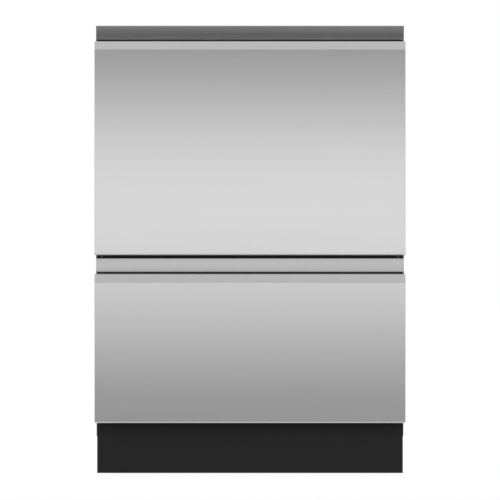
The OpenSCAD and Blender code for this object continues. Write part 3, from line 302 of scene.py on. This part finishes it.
def spangle_group():
    """Galvanised spangle: flat crystals with their own tone, and a fine frost over them."""
    g, gi, go = group("zinc_spangle", {"Size": 150.0}, {"Crystal": "Float", "Frost": "Float"})
    at = stretched(g, (1.0, 1.0, 1.0))
    warp = node(g, "ShaderNodeTexNoise", [("Vector", at)], Scale=60.0, Detail=2.0)
    bent = node(g, "ShaderNodeMixRGB", [("Color1", at), ("Color2", warp.outputs["Color"])], Fac=0.012)
    cells = node(g, "ShaderNodeTexVoronoi", [("Vector", bent.outputs[0]), ("Scale", gi.outputs["Size"])])
    one = node(g, "ShaderNodeSeparateColor", [("Color", cells.outputs["Color"])])
    g.links.new(one.outputs[0], go.inputs["Crystal"])
    g.links.new(noise(g, at, 700.0, 3.0), go.inputs["Frost"])
    return g


BRUSH = brush_group()
GRAIN = grain_group()
SPANGLE = spangle_group()

# ---------------------------------------------------------------- materials


LINE_DEPTH = 0.0002                   # relief of the brushed lines, the grain and the frost, in metres
GRAIN_DEPTH = 0.0004
FROST_DEPTH = 0.0003


def start(name, **sockets):
    """A material with a Principled BSDF whose plain numbers are set on its own sockets."""
    mat = bpy.data.materials.new(name)
    t = tree_of(mat)
    out = node(t, "ShaderNodeOutputMaterial")
    skin = node(t, "ShaderNodeBsdfPrincipled", **sockets)
    t.links.new(skin.outputs[0], out.inputs["Surface"])
    return mat, t, skin


def placed(t, g, **values):
    """A shader group placed in a material, with its own values."""
    n = t.nodes.new("ShaderNodeGroup")
    n.node_tree = g
    for key, value in values.items():
        n.inputs[key].default_value = value
    return n


def tone(t, colour, swing, mask):
    """The colour, darker by the swing where the mask is 0 and lighter by it where the mask is 1."""
    dark, light = ((*(c * (1 + k * swing) for c in colour), 1.0) for k in (-1, 1))
    return node(t, "ShaderNodeMixRGB", [("Fac", mask)], Color1=dark, Color2=light).outputs[0]


def shifted(t, mask, reach, level):
    """A level that moves by `reach` over the mask."""
    return maths(t, "ADD", maths(t, "MULTIPLY", mask, reach), level)


def bump(t, skin, height, strength, distance):
    """Height as relief on the shader's normal, `distance` deep in metres."""
    b = node(t, "ShaderNodeBump", [("Height", height)], Strength=strength, Distance=distance)
    t.links.new(b.outputs[0], skin.inputs["Normal"])


def brushed(name, grey, rough, lines=1.0, drift=1.0, depth=0.10, swing=0.05):
    """Stainless sheet brushed along X: lines shift its tone and shine, and score it."""
    mat, t, skin = start(name, Metallic=1.0)
    g = placed(t, BRUSH, Fine=lines, Drift=drift)
    fine = maths(t, "MULTIPLY", g.outputs["Lines"], 0.8)
    both = maths(t, "ADD", fine, maths(t, "MULTIPLY", g.outputs["Drift"], 0.5))
    t.links.new(tone(t, grey, swing, maths(t, "ADD", both, 0.5)), skin.inputs["Base Color"])
    t.links.new(shifted(t, g.outputs["Lines"], 0.16, rough), skin.inputs["Roughness"])
    bump(t, skin, g.outputs["Lines"], depth, LINE_DEPTH)
    return mat


def moulded(name, colour, rough, grain=900.0, depth=0.06, swing=0.06, coat=0.0, gloss=0.5):
    """Plastic or paint: grained skin with a slow cloud in tone and shine."""
    mat, t, skin = start(name)
    skin.inputs["Specular IOR Level"].default_value = gloss
    if coat:
        skin.inputs["Coat Weight"].default_value = coat
        skin.inputs["Coat Roughness"].default_value = 0.08
    g = placed(t, GRAIN, Size=grain)
    t.links.new(tone(t, colour, swing, g.outputs["Cloud"]), skin.inputs["Base Color"])
    shine = shifted(t, maths(t, "SUBTRACT", g.outputs["Cloud"], 0.5), 0.12, rough)
    t.links.new(shine, skin.inputs["Roughness"])
    bump(t, skin, g.outputs["Height"], depth, GRAIN_DEPTH)
    return mat


def galvanised(name, grey, rough, size=150.0, swing=0.07):
    """Zinc-coated sheet: crystals differ in tone and shine, under a fine frost."""
    mat, t, skin = start(name, Metallic=1.0)
    g = placed(t, SPANGLE, Size=size)
    t.links.new(tone(t, grey, swing, g.outputs["Crystal"]), skin.inputs["Base Color"])
    t.links.new(shifted(t, g.outputs["Crystal"], 0.08, rough), skin.inputs["Roughness"])
    bump(t, skin, g.outputs["Frost"], 0.08, FROST_DEPTH)
    return mat


def lamp(name, colour, strength):
    """Small lamp behind a milky cap, whose cloud shows in its colour and its glow."""
    mat, t, skin = start(name, Roughness=0.3, Emission_Strength=strength)
    g = placed(t, GRAIN, Size=2500.0, Cloud=400.0)
    glow = tone(t, colour, 0.11, g.outputs["Cloud"])
    for socket in ("Base Color", "Emission Color"):
        t.links.new(glow, skin.inputs[socket])
    return mat


MATERIALS = {
    "front_steel": brushed("front_steel", (0.60, 0.60, 0.60), 0.30),
    # strip_steel is the fronts' brushed steel at a darker grey: that darker grey is painted shade of the
    # handle recess the strip sits in
    "strip_steel": brushed("strip_steel", (0.375, 0.375, 0.375), 0.22, lines=1.3, drift=2.6, swing=0.07),
    "grey_plastic": moulded("grey_plastic", (0.10, 0.103, 0.106), 0.5),
    "gloss_black": moulded("gloss_black", (0.018, 0.018, 0.02), 0.12, depth=0.01, coat=0.4),
    "button_metal": brushed("button_metal", (0.66, 0.66, 0.67), 0.24),
    "tub_plastic": moulded("tub_plastic", (0.42, 0.44, 0.45), 0.34, depth=0.03),
    "runner_steel": galvanised("runner_steel", (0.66, 0.67, 0.68), 0.24, size=60.0, swing=0.02),
    "dark_plastic": moulded("dark_plastic", (0.045, 0.046, 0.05), 0.42),
    "white_plastic": moulded("white_plastic", (0.74, 0.74, 0.71), 0.4, depth=0.04, swing=0.03),
    "filter_steel": brushed("filter_steel", (0.60, 0.60, 0.60), 0.28),
    "coated_wire": moulded("coated_wire", (0.50, 0.52, 0.53), 0.3, depth=0.02, coat=0.3),
    "rubber": moulded("rubber", (0.016, 0.016, 0.017), 0.7, grain=1500.0, depth=0.10),
    "zinc_sheet": galvanised("zinc_sheet", (0.56, 0.58, 0.60), 0.34),
    "chassis_paint": moulded("chassis_paint", (0.24, 0.25, 0.26), 0.42, grain=1300.0, depth=0.05),
    "black_paint": moulded("black_paint", (0.010, 0.010, 0.010), 0.42, grain=1300.0, depth=0.05, gloss=0.25),
    "lamp": lamp("lamp", (0.675, 0.765, 0.855), 0.6),
}


def dress(obj, slot):
    """Gives a piece or a CAD node the material of its slot."""
    if not obj.material_slots:
        obj.data.materials.append(MATERIALS[slot])
    for s in obj.material_slots:
        s.material = MATERIALS[slot]


for name, obj in NODES.items():
    dress(obj, SLOT_OF[name])

# ---------------------------------------------------------------- mesh makers


def new_piece(name, verts, faces, like, slot, stands_for=()):
    """Makes a mesh piece that rides with the body of CAD node `like` and wears the finish of `slot`."""
    mesh = bpy.data.meshes.new(name)
    mesh.from_pydata(verts, [], faces)
    mesh.shade_smooth()
    obj = bpy.data.objects.new(name, mesh)
    bpy.context.scene.collection.objects.link(obj)
    dress(obj, slot)
    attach(obj, BODY_OF[like])
    if stands_for:
        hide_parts(*stands_for)
    return obj


def grid_faces(nu, nv, around=False, first=0):
    """Quads of an nu by nv grid of points, row by row; `around` joins the last column to the first."""
    u, v = np.meshgrid(np.arange(nu - 1), np.arange(nv if around else nv - 1), indexing="ij")
    w = (v + 1) % nv
    quads = np.stack([u * nv + v, u * nv + w, (u + 1) * nv + w, (u + 1) * nv + v], axis=-1)
    return (quads.reshape(-1, 4) + first).tolist()


def rounded_path(corners, radii, steps=7):
    """Open path through 2-D corners; each inner corner becomes an arc of its radius, tangent to both legs.

    An arc turns from the foot of one leg to that of the other at a steady rate, about the centre on the
    corner's bisector at r / sin(half its angle)."""
    corners = [np.asarray(c, float) for c in corners]
    out = [corners[0]]
    for before, at, after, r in zip(corners, corners[1:], corners[2:], radii):
        a, b = before - at, after - at
        a, b = a / np.linalg.norm(a), b / np.linalg.norm(b)
        half = math.acos(float(np.clip(a @ b, -1, 1))) / 2
        reach = r / math.tan(half)
        centre = at + (a + b) / np.linalg.norm(a + b) * r / math.sin(half)
        start_at, end_at = at + a * reach - centre, at + b * reach - centre
        turn = math.pi - 2 * half
        for k in range(steps + 1):
            f = k / steps
            w = (math.sin((1 - f) * turn) * start_at + math.sin(f * turn) * end_at) / math.sin(turn)
            out.append(centre + w)
    out.append(corners[-1])
    return np.array(out)


def add_modifier(obj, kind, **values):
    """Adds a modifier with the given settings."""
    m = obj.modifiers.new(kind.lower(), kind)
    for key, value in values.items():
        setattr(m, key, value)
    return m


def flat_lit(obj):
    """Keeps the flat faces of a smooth piece flat to the light: its bends take all the turn."""
    add_modifier(obj, "WEIGHTED_NORMAL", mode="FACE_AREA", weight=50, keep_sharp=False)
    return obj


def eased(obj, width, segments=3, angle=32.0):
    """Rounds the edges of a piece that are sharper than the angle; its flat faces stay flat to the light."""
    add_modifier(obj, "BEVEL", width=width, segments=segments, limit_method="ANGLE",
                 angle_limit=math.radians(angle), harden_normals=True, use_clamp_overlap=False)
    return flat_lit(obj)


def softened(name, width):
    """Copy of a CAD node that replaces it: its triangles joined into flat faces, its edges rounded."""
    source = NODES[name]
    bm = bmesh.new()
    bm.from_mesh(source.data)
    bmesh.ops.remove_doubles(bm, verts=bm.verts, dist=2e-6)
    bmesh.ops.dissolve_limit(bm, angle_limit=math.radians(1.0), verts=bm.verts, edges=bm.edges)
    mesh = bpy.data.meshes.new(name + "_piece")
    bm.to_mesh(mesh)
    bm.free()
    mesh.shade_smooth()
    obj = bpy.data.objects.new(name + "_piece", mesh)
    bpy.context.scene.collection.objects.link(obj)
    dress(obj, SLOT_OF[name])
    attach(obj, BODY_OF[name])
    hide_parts(name)
    return eased(obj, width, segments=2)


# ---------------------------------------------------------------- drawer fronts

SHEET = 0.95 * MM                     # just thinner than in the CAD, so that it stays inside it
FOOT_BEND = 2.5 * MM                  # bend at the lower edge of a front
FACE_BEND = 5.5 * MM                  # soft bend between the face and the slanted lip
LIP_BEND = 1.5 * MM
SIDE_BEND = 1.3 * MM
SIDE_LAP = 0.2 * MM                   # how far the sheet runs into the start of the side's bend
LIP_HEIGHT = 16 * MM
LIP_LEAN = 8 * MM
LIP_FLAT = 3 * MM
LIP_DOWN = 12 * MM
HEM = 14 * MM
SIDE_DEPTH = 24 * MM
SIDE_DROP = 14 * MM                   # from the lip's bend down to the upper back corner of a side
SIDE_STEPS = 6                        # rings in the bend of a side


def inward(path):
    """Unit normals to the right of a 2-D path; a point's direction is that of its two neighbours' chord."""
    along = np.gradient(path, axis=0)
    along /= np.linalg.norm(along, axis=1)[:, None]
    return np.stack([along[:, 1], -along[:, 0]], -1)


def bent_sheet(name, path, half, like, slot, stands_for):
    """Bent sheet: a profile in Y and Z carried along X from -half to half, with its thickness inside."""
    xs = np.linspace(-half, half, 3)
    points = np.stack([np.broadcast_to(xs, (len(path), 3)), np.repeat(path[:, :1], 3, 1),
                       np.repeat(path[:, 1:], 3, 1)], -1)
    faces = grid_faces(*points.shape[:2])
    obj = new_piece(name, points.reshape(-1, 3).tolist(), faces, like, slot, stands_for)
    add_modifier(obj, "SOLIDIFY", thickness=SHEET, offset=-1.0)
    return obj


def side_walls(drawer, path, back):
    """Folded sides: plates in the shape of the front's profile, closed along its back.

    At an angle phi of the fold (0 to 90 degrees) the outline stands at x = X - R + R sin(phi) and has
    moved in by R (1 - cos(phi)); the straight back stays in place."""
    cad = drawer + "_front_skin"
    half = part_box(cad)[1].x
    rings = SIDE_STEPS
    phi = np.linspace(0, math.pi / 2, rings)[:, None, None]
    rim = np.concatenate([path + inward(path) * SIDE_BEND * (1 - np.cos(phi)),
                          np.broadcast_to(np.array(back), (rings, len(back), 2))], axis=1)
    x = np.broadcast_to(half - SIDE_BEND + SIDE_BEND * np.sin(phi), rim.shape[:2] + (1,))
    right = np.concatenate([x, rim], axis=2)
    n = rim.shape[1]
    ends = [tuple(range(n)), tuple(range((rings - 1) * n, rings * n))]
    walls = grid_faces(rings, n, around=True) + ends
    both = walls + [tuple(i + rings * n for i in f) for f in walls]
    verts = np.concatenate([right.reshape(-1, 3), right.reshape(-1, 3) * [-1, 1, 1]])
    obj = outward(new_piece(drawer + "_front_sides", verts.tolist(), both, cad, "front_steel"))
    return flat_lit(obj)


def steel_front(drawer):
    """Folded front: hem, face, slanted lip and the lip's fold as one bent sheet between two folded sides."""
    cad = drawer + "_front_skin"
    low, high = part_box(cad)
    y, z0, lip = low.y, low.z, high.z
    bend = lip - LIP_HEIGHT
    back = y + LIP_LEAN + LIP_FLAT
    corners = [(y + HEM, z0), (y, z0), (y, bend), (y + LIP_LEAN, lip), (back, lip), (back, lip - LIP_DOWN)]
    path = rounded_path(corners, [FOOT_BEND, FACE_BEND, LIP_BEND, LIP_BEND])
    half = high.x - SIDE_BEND + SIDE_LAP
    flat_lit(bent_sheet(drawer + "_steel_front", path, half, cad, "front_steel", [cad]))
    side_walls(drawer, path, [(y + SIDE_DEPTH, bend - SIDE_DROP), (y + SIDE_DEPTH, z0)])


def outward(obj):
    """Turns the faces of a closed piece outwards, after its doubles are merged."""
    bm = bmesh.new()
    bm.from_mesh(obj.data)
    bmesh.ops.remove_doubles(bm, verts=bm.verts, dist=1e-6)
    bmesh.ops.recalc_face_normals(bm, faces=bm.faces)
    bm.to_mesh(obj.data)
    bm.free()
    return obj


STRIP_BACK = 30 * MM                  # face of the handle strip behind the front face
SLOT = 3 * MM                         # dark slot under the handle strip
STRIP_BEND = 1.5 * MM
STRIP_BOW = 1.2 * MM                  # how far the top of the strip leans back
STRIP_ROLL = 240 * MM                 # radius of that lean
STRIP_SHORT = 2.6 * MM                # how much less deep the lower fold is than the top fold
STRIP_EDGE = 0.22 * MM


def handle_strip(drawer):
    """Handle strip: lower fold, face and top fold as one bent sheet, a profile in Y and Z carried along X.

    The upper half of its face leans back, rolled to a wide radius."""
    cad = drawer + "_handle_strip"
    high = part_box(cad)[1]
    skin_low, skin_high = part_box(drawer + "_front_skin")
    y, z = skin_low.y + STRIP_BACK, skin_high.z + SLOT
    top = (y + STRIP_BOW, high.z)
    corners = [(high.y - STRIP_SHORT, z), (y, z), (y, (z + high.z) / 2), top, (high.y, high.z)]
    path = rounded_path(corners, [STRIP_BEND, STRIP_ROLL, STRIP_BEND])
    obj = bent_sheet(drawer + "_strip_sheet", path, high.x, cad, "strip_steel", [cad])
    return eased(obj, STRIP_EDGE, segments=2, angle=40.0)


for drawer in DRAWERS:
    steel_front(drawer)
    handle_strip(drawer)

# ---------------------------------------------------------------- tubs and washing parts

TUB_WALL = 2.5 * MM
TUB_CORNER = 45 * MM                  # upright corners, outside
TUB_FOOT = 14 * MM                    # between walls and floor, inside
FLOOR_T = 3 * MM
FLANGE = 6 * MM
FLANGE_T = 3 * MM
SUMP_DEPTH = 22 * MM
SUMP_TOP = 90 * MM                    # radius at the floor
SUMP_BOTTOM = 60 * MM
BAND = (2 * MM, 4 * MM)               # how far the bands round a tub stand out, and their height
BAND_AT = (0.45, 0.75)                # their place, as a share of the tub's depth
CORNER_STEPS = 11
FOOT_STEPS = 8
SUMP_WALL = 2 * MM                    # the sump's wall at its foot
SUMP_RIM = 0.7 * MM                   # and at its top, where it meets the tub's underside
TUB_EDGE = 0.8 * MM
# Profiles in millimetres: radius, and height above the tub's inside floor
POST = [(0, -22.5), (11, -22.5), (11, -20), (10, -19), (5.5, -19), (4, -17.5), (4, 26), (3.2, 27.3),
        (0, 27.7)]
PEG = [(0, -1), (14, -1), (12.2, 0.4), (11, 2.5), (7.4, 43), (6.2, 45.4), (4, 46), (0, 46)]
PEG_AT = (186 * MM, 175 * MM)         # pegs that carry the basket, from the middle of the tub


def rounded_ring(box, r, z):
    """Ring at height z round the rectangle box = (x0, x1, y0, y1), whose corners have the radius r.

    A corner's points are the middle of its arc plus r (cos a, sin a), a running over a quarter turn. Where
    r is half of both sides the ring is a circle."""
    x0, x1, y0, y1 = box
    a = np.linspace(0, math.pi / 2, CORNER_STEPS) + np.arange(4)[:, None] * math.pi / 2
    cx = np.array([x1 - r, x0 + r, x0 + r, x1 - r])[:, None]
    cy = np.array([y1 - r, y1 - r, y0 + r, y0 + r])[:, None]
    return np.stack([cx + r * np.cos(a), cy + r * np.sin(a), np.full_like(a, z)], -1).reshape(-1, 3)


def turned(profile, x, y, steps=36):
    """Skin of revolution: each profile point (radius, height) goes round the upright line at x, y."""
    r, z = np.array(profile, float).T[:, :, None]
    a = np.linspace(0, 2 * math.pi, steps, endpoint=False)
    return np.stack([x + r * np.cos(a), y + r * np.sin(a), z + 0 * a], -1)


def skins(*grids):
    """Points and faces of several grids, each joined round its rows."""
    faces, first = [], 0
    for g in grids:
        faces += grid_faces(*g.shape[:2], around=True, first=first)
        first += g.shape[0] * g.shape[1]
    return np.concatenate([g.reshape(-1, 3) for g in grids]).tolist(), faces


def tub_middle(drawer):
    """Middle of a tub in Y, and its inside floor in Z."""
    low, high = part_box(drawer + "_tub")
    return (low.y + high.y - FLANGE) / 2, low.z + SUMP_DEPTH + FLOOR_T


def tub(drawer):
    """Moulded tub: one closed skin whose rings go up its outside, over the rim and down its inside, with
    the arm's post and four pegs set into its floor.

    Foot bends: at an angle t the ring has moved in by R (1 - sin t) and up by R (1 - cos t)."""
    cad = drawer + "_tub"
    low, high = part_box(cad)
    x, y0, y1, rim = high.x - FLANGE, low.y, high.y - FLANGE, high.z
    cy, floor = tub_middle(drawer)

    def wall(out, z, front=None, r=TUB_CORNER):
        front = out if front is None else front
        return rounded_ring((-x - out, x + out, y0 - front, y1 + out), r, z)

    def circle(r, z):
        return rounded_ring((-r, r, cy - r, cy + r), r, z)

    def foot(inset, bend, z):
        t = np.linspace(0, math.pi / 2, FOOT_STEPS)
        return [wall(-inset - d, h, r=TUB_CORNER - inset - d)
                for d, h in zip(bend * (1 - np.sin(t)), z + bend * (1 - np.cos(t)))]

    rings = [circle(0, low.z), circle(SUMP_BOTTOM + SUMP_WALL, low.z)]
    rings += [circle(SUMP_TOP + SUMP_RIM, floor - FLOOR_T)]
    rings += foot(0.0, TUB_FOOT + FLOOR_T, floor - FLOOR_T)
    out, tall = BAND
    for f in BAND_AT:
        z = floor + f * (rim - floor)
        rings += [wall(0, z), wall(out, z, 0), wall(out, z + tall, 0), wall(0, z + tall)]
    rings += [wall(0, rim - FLANGE_T), wall(FLANGE, rim - FLANGE_T, 0), wall(FLANGE, rim, 0)]
    rings += [wall(-TUB_WALL, rim, r=TUB_CORNER - TUB_WALL)] + foot(TUB_WALL, TUB_FOOT, floor)[::-1]
    sump = floor - SUMP_DEPTH
    rings += [circle(SUMP_TOP, floor), circle(SUMP_BOTTOM, sump), circle(0, sump)]
    stands = [turned(np.array(POST) * MM + [0, floor], 0.0, cy)]
    stands += [turned(np.array(PEG) * MM + [0, floor], sx * PEG_AT[0], cy + sy * PEG_AT[1])
               for sx in (-1, 1) for sy in (-1, 1)]
    obj = new_piece(drawer + "_tub_shell", *skins(np.stack(rings), *stands), cad, "tub_plastic", [cad])
    return eased(outward(obj), TUB_EDGE, angle=40.0)


# Spray arm, in millimetres: along its reach, its two edges in Y, and its top and underside above the floor
ARM_REACH = 201.0
ARM_NEAR = ([0, 26, 145, 189, 201], [-25, -21.5, -18, 2, 6])
ARM_FAR = ([0, 26, 145, 193, 201], [25, 23, 14, 21.5, 18])
ARM_TOP = ([0, 40, 201], [25, 25, 22])
ARM_UNDER = ([0, 40, 201], [13, 13, 16])
ARM_TIP = 12.0                        # length of the rounded tip
ARM_BEND = (20.0, 40.0)               # where its middle leaves the hub's, and over what length
ARM_SMOOTH = 9.0                      # length over which its curves are averaged
ARM_STEPS = 121
ARM_AROUND = 40
HUB = [(4.06, 8), (15, 8), (15, 11), (13, 12.8), (15, 24), (15, 29.5), (13, 32), (4.06, 32), (4.06, 8)]
JETS = 7                              # on each half
JET_FIRST = 36.0                      # from the hub's middle to the first jet, and to the last
JET_LAST = 169.0


def smooth_read(at, places, values):
    """Reads a curve of straight stretches, averaged over a short length so that its corners are round."""
    near_by = np.linspace(-0.5, 0.5, 9) * ARM_SMOOTH
    return np.mean([np.interp(at + d, places, values) for d in near_by], axis=0)


def spray_arm(drawer):
    """Spray arm: rounded sections along X from tip to tip, the second half the first turned by 180 degrees.

    A section is a superellipse |y / w|^4 + |z / h|^4 = 1, whose middle, half width w and half height h are
    read along the reach. In the last stretch before the tip, w falls as the chord c of a unit circle does,
    and h as c^0.6. The jets stand on top, further off the middle and wider towards the tip."""
    cad = drawer + "_spray_arm"
    cy, floor = tub_middle(drawer)
    t = np.linspace(-1, 1, ARM_STEPS)
    along = np.sin(t * math.pi / 2) * ARM_REACH      # closer steps towards the tips
    reach = np.abs(along)
    turn = np.where(along < 0, -1.0, 1.0)
    near, far, top, under = (smooth_read(reach, *c) for c in (ARM_NEAR, ARM_FAR, ARM_TOP, ARM_UNDER))
    into_tip = np.clip(reach - ARM_REACH + ARM_TIP, 0, None) / ARM_TIP
    blunt = np.sqrt(np.clip(1 - into_tip ** 2, 0, 1))
    off_centre = np.clip((reach - ARM_BEND[0]) / ARM_BEND[1], 0, 1)
    middle = turn * (near + far) / 2 * off_centre ** 2 * (3 - 2 * off_centre)
    a = np.linspace(0, 2 * math.pi, ARM_AROUND, endpoint=False)[None]
    across, up = (np.sign(c) * np.abs(c) ** 0.5 for c in (np.cos(a), np.sin(a)))
    y = middle[:, None] + (far - near)[:, None] / 2 * blunt[:, None] * across
    z = (top + under)[:, None] / 2 + (top - under)[:, None] / 2 * blunt[:, None] ** 0.6 * up
    x = np.broadcast_to(along[:, None], y.shape)
    blade = np.stack([x, y, z], -1) * MM + [0, cy, floor]
    parts = [blade, turned(np.array(HUB) * MM + [0, floor], 0.0, cy)]
    for f in np.linspace(0, 1, JETS):
        jx = JET_FIRST + f * (JET_LAST - JET_FIRST)
        jy, jz = -4 + 10 * f * f, np.interp(jx, *ARM_TOP)
        jr = 1.6 + 0.7 * f
        jet = [(0, -0.8), (jr, -0.8), (jr, 0.5), (jr + 0.4, 0.7), (jr + 1, 0.6), (jr + 1.3, -0.9), (0, -0.9)]
        jet = np.array(jet) * MM + [0, floor + jz * MM]
        parts += [turned(jet, k * jx * MM, cy + k * jy * MM, 16) for k in (1, -1)]
    obj = new_piece(drawer + "_arm_skin", *skins(*parts), cad, "dark_plastic", [cad])
    return outward(obj)


WINDOW = (36 * MM, 6 * MM)            # half sides of the display window
WINDOW_CORNER = 2 * MM
BUTTON_AT = 70 * MM
LAMP_PITCH = 9 * MM
# Profiles in millimetres, above the control strip's face: the pane's inset from its outline, the radius
# of a lamp, and that of a button's ring
PANE = [(0, -0.2), (0, 0.15), (0.2, 0.3), (1.6, 0.34), (1.9, 0.34)]
LAMP = [(0, 0.3), (1.1, 0.3), (1.1, 0.42), (0.8, 0.5), (0, 0.52)]
BUTTON_RING = [(7, -0.05), (8, -0.05), (8, 0.06), (7, 0.06), (7, -0.05)]


def display(drawer):
    """Display window: a glossy pane with eased edges, a row of lamps on it and a printed ring round each
    button. The pane's rings start and end as its own middle line, which closes it."""
    cad = drawer + "_control_strip"
    low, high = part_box(cad)
    y, z = (low.y + high.y) / 2, high.z
    a, b = WINDOW

    def pane(inset, h):
        x, half, r = a - inset * MM, b - inset * MM, WINDOW_CORNER - inset * MM
        return rounded_ring((-x, x, y - half, y + half), r, z + h * MM)

    def middle(h):
        return rounded_ring((b - a, a - b, y, y), 0, z + h * MM)

    rings = [middle(PANE[0][1])] + [pane(*p) for p in PANE] + [middle(PANE[-1][1])]
    outward(new_piece(drawer + "_display_pane", *skins(np.stack(rings)), cad, "gloss_black"))
    lamps = [turned(np.array(LAMP) * MM + [0, z], k * LAMP_PITCH, y, 16) for k in (-2, -1, 0, 1, 2)]
    dress(outward(new_piece(drawer + "_display_lamps", *skins(*lamps), cad, "white_plastic")), "lamp")
    marks = [turned(np.array(BUTTON_RING) * MM + [0, z], x, y) for x in (-BUTTON_AT, BUTTON_AT)]
    outward(new_piece(drawer + "_button_rings", *skins(*marks), cad, "white_plastic"))


for drawer in DRAWERS:
    tub(drawer)
    spray_arm(drawer)
    display(drawer)

# ---------------------------------------------------------------- softened sheet, castings and mouldings

SOFT_EDGES = {                        # edge radius in millimetres
    "side_panels": 0.4, "rear_panel": 0.4, "top_panel": 0.4, "cross_rail": 0.4, "base_tray": 0.4,
    "kick_plate": 0.5, "brackets": 0.3, "side_trims": 0.5, "cabinet_runners": 0.35, "lid_actuators": 0.4,
    "inlet_valve": 0.5, "drain_outlet": 0.5, "mains_bush": 0.3, "control_module": 1.2, "chassis_screws": 0.3,
    "cutlery_basket": 0.5,
}
SOFT_PER_DRAWER = {
    "front_frame": 0.5, "control_strip": 0.9, "power_button": 0.2, "start_button": 0.2,
    "tub_runners": 0.35, "middle_runners": 0.35, "pump_motor": 0.8, "filters": 0.35,
    "dispenser": 0.8, "dispenser_door": 0.6, "lid": 0.9, "lid_seal": 0.8,
}
for name, radius in SOFT_EDGES.items():
    softened(name, radius * MM)
for drawer in DRAWERS:
    for name, radius in SOFT_PER_DRAWER.items():
        softened(f"{drawer}_{name}", radius * MM)
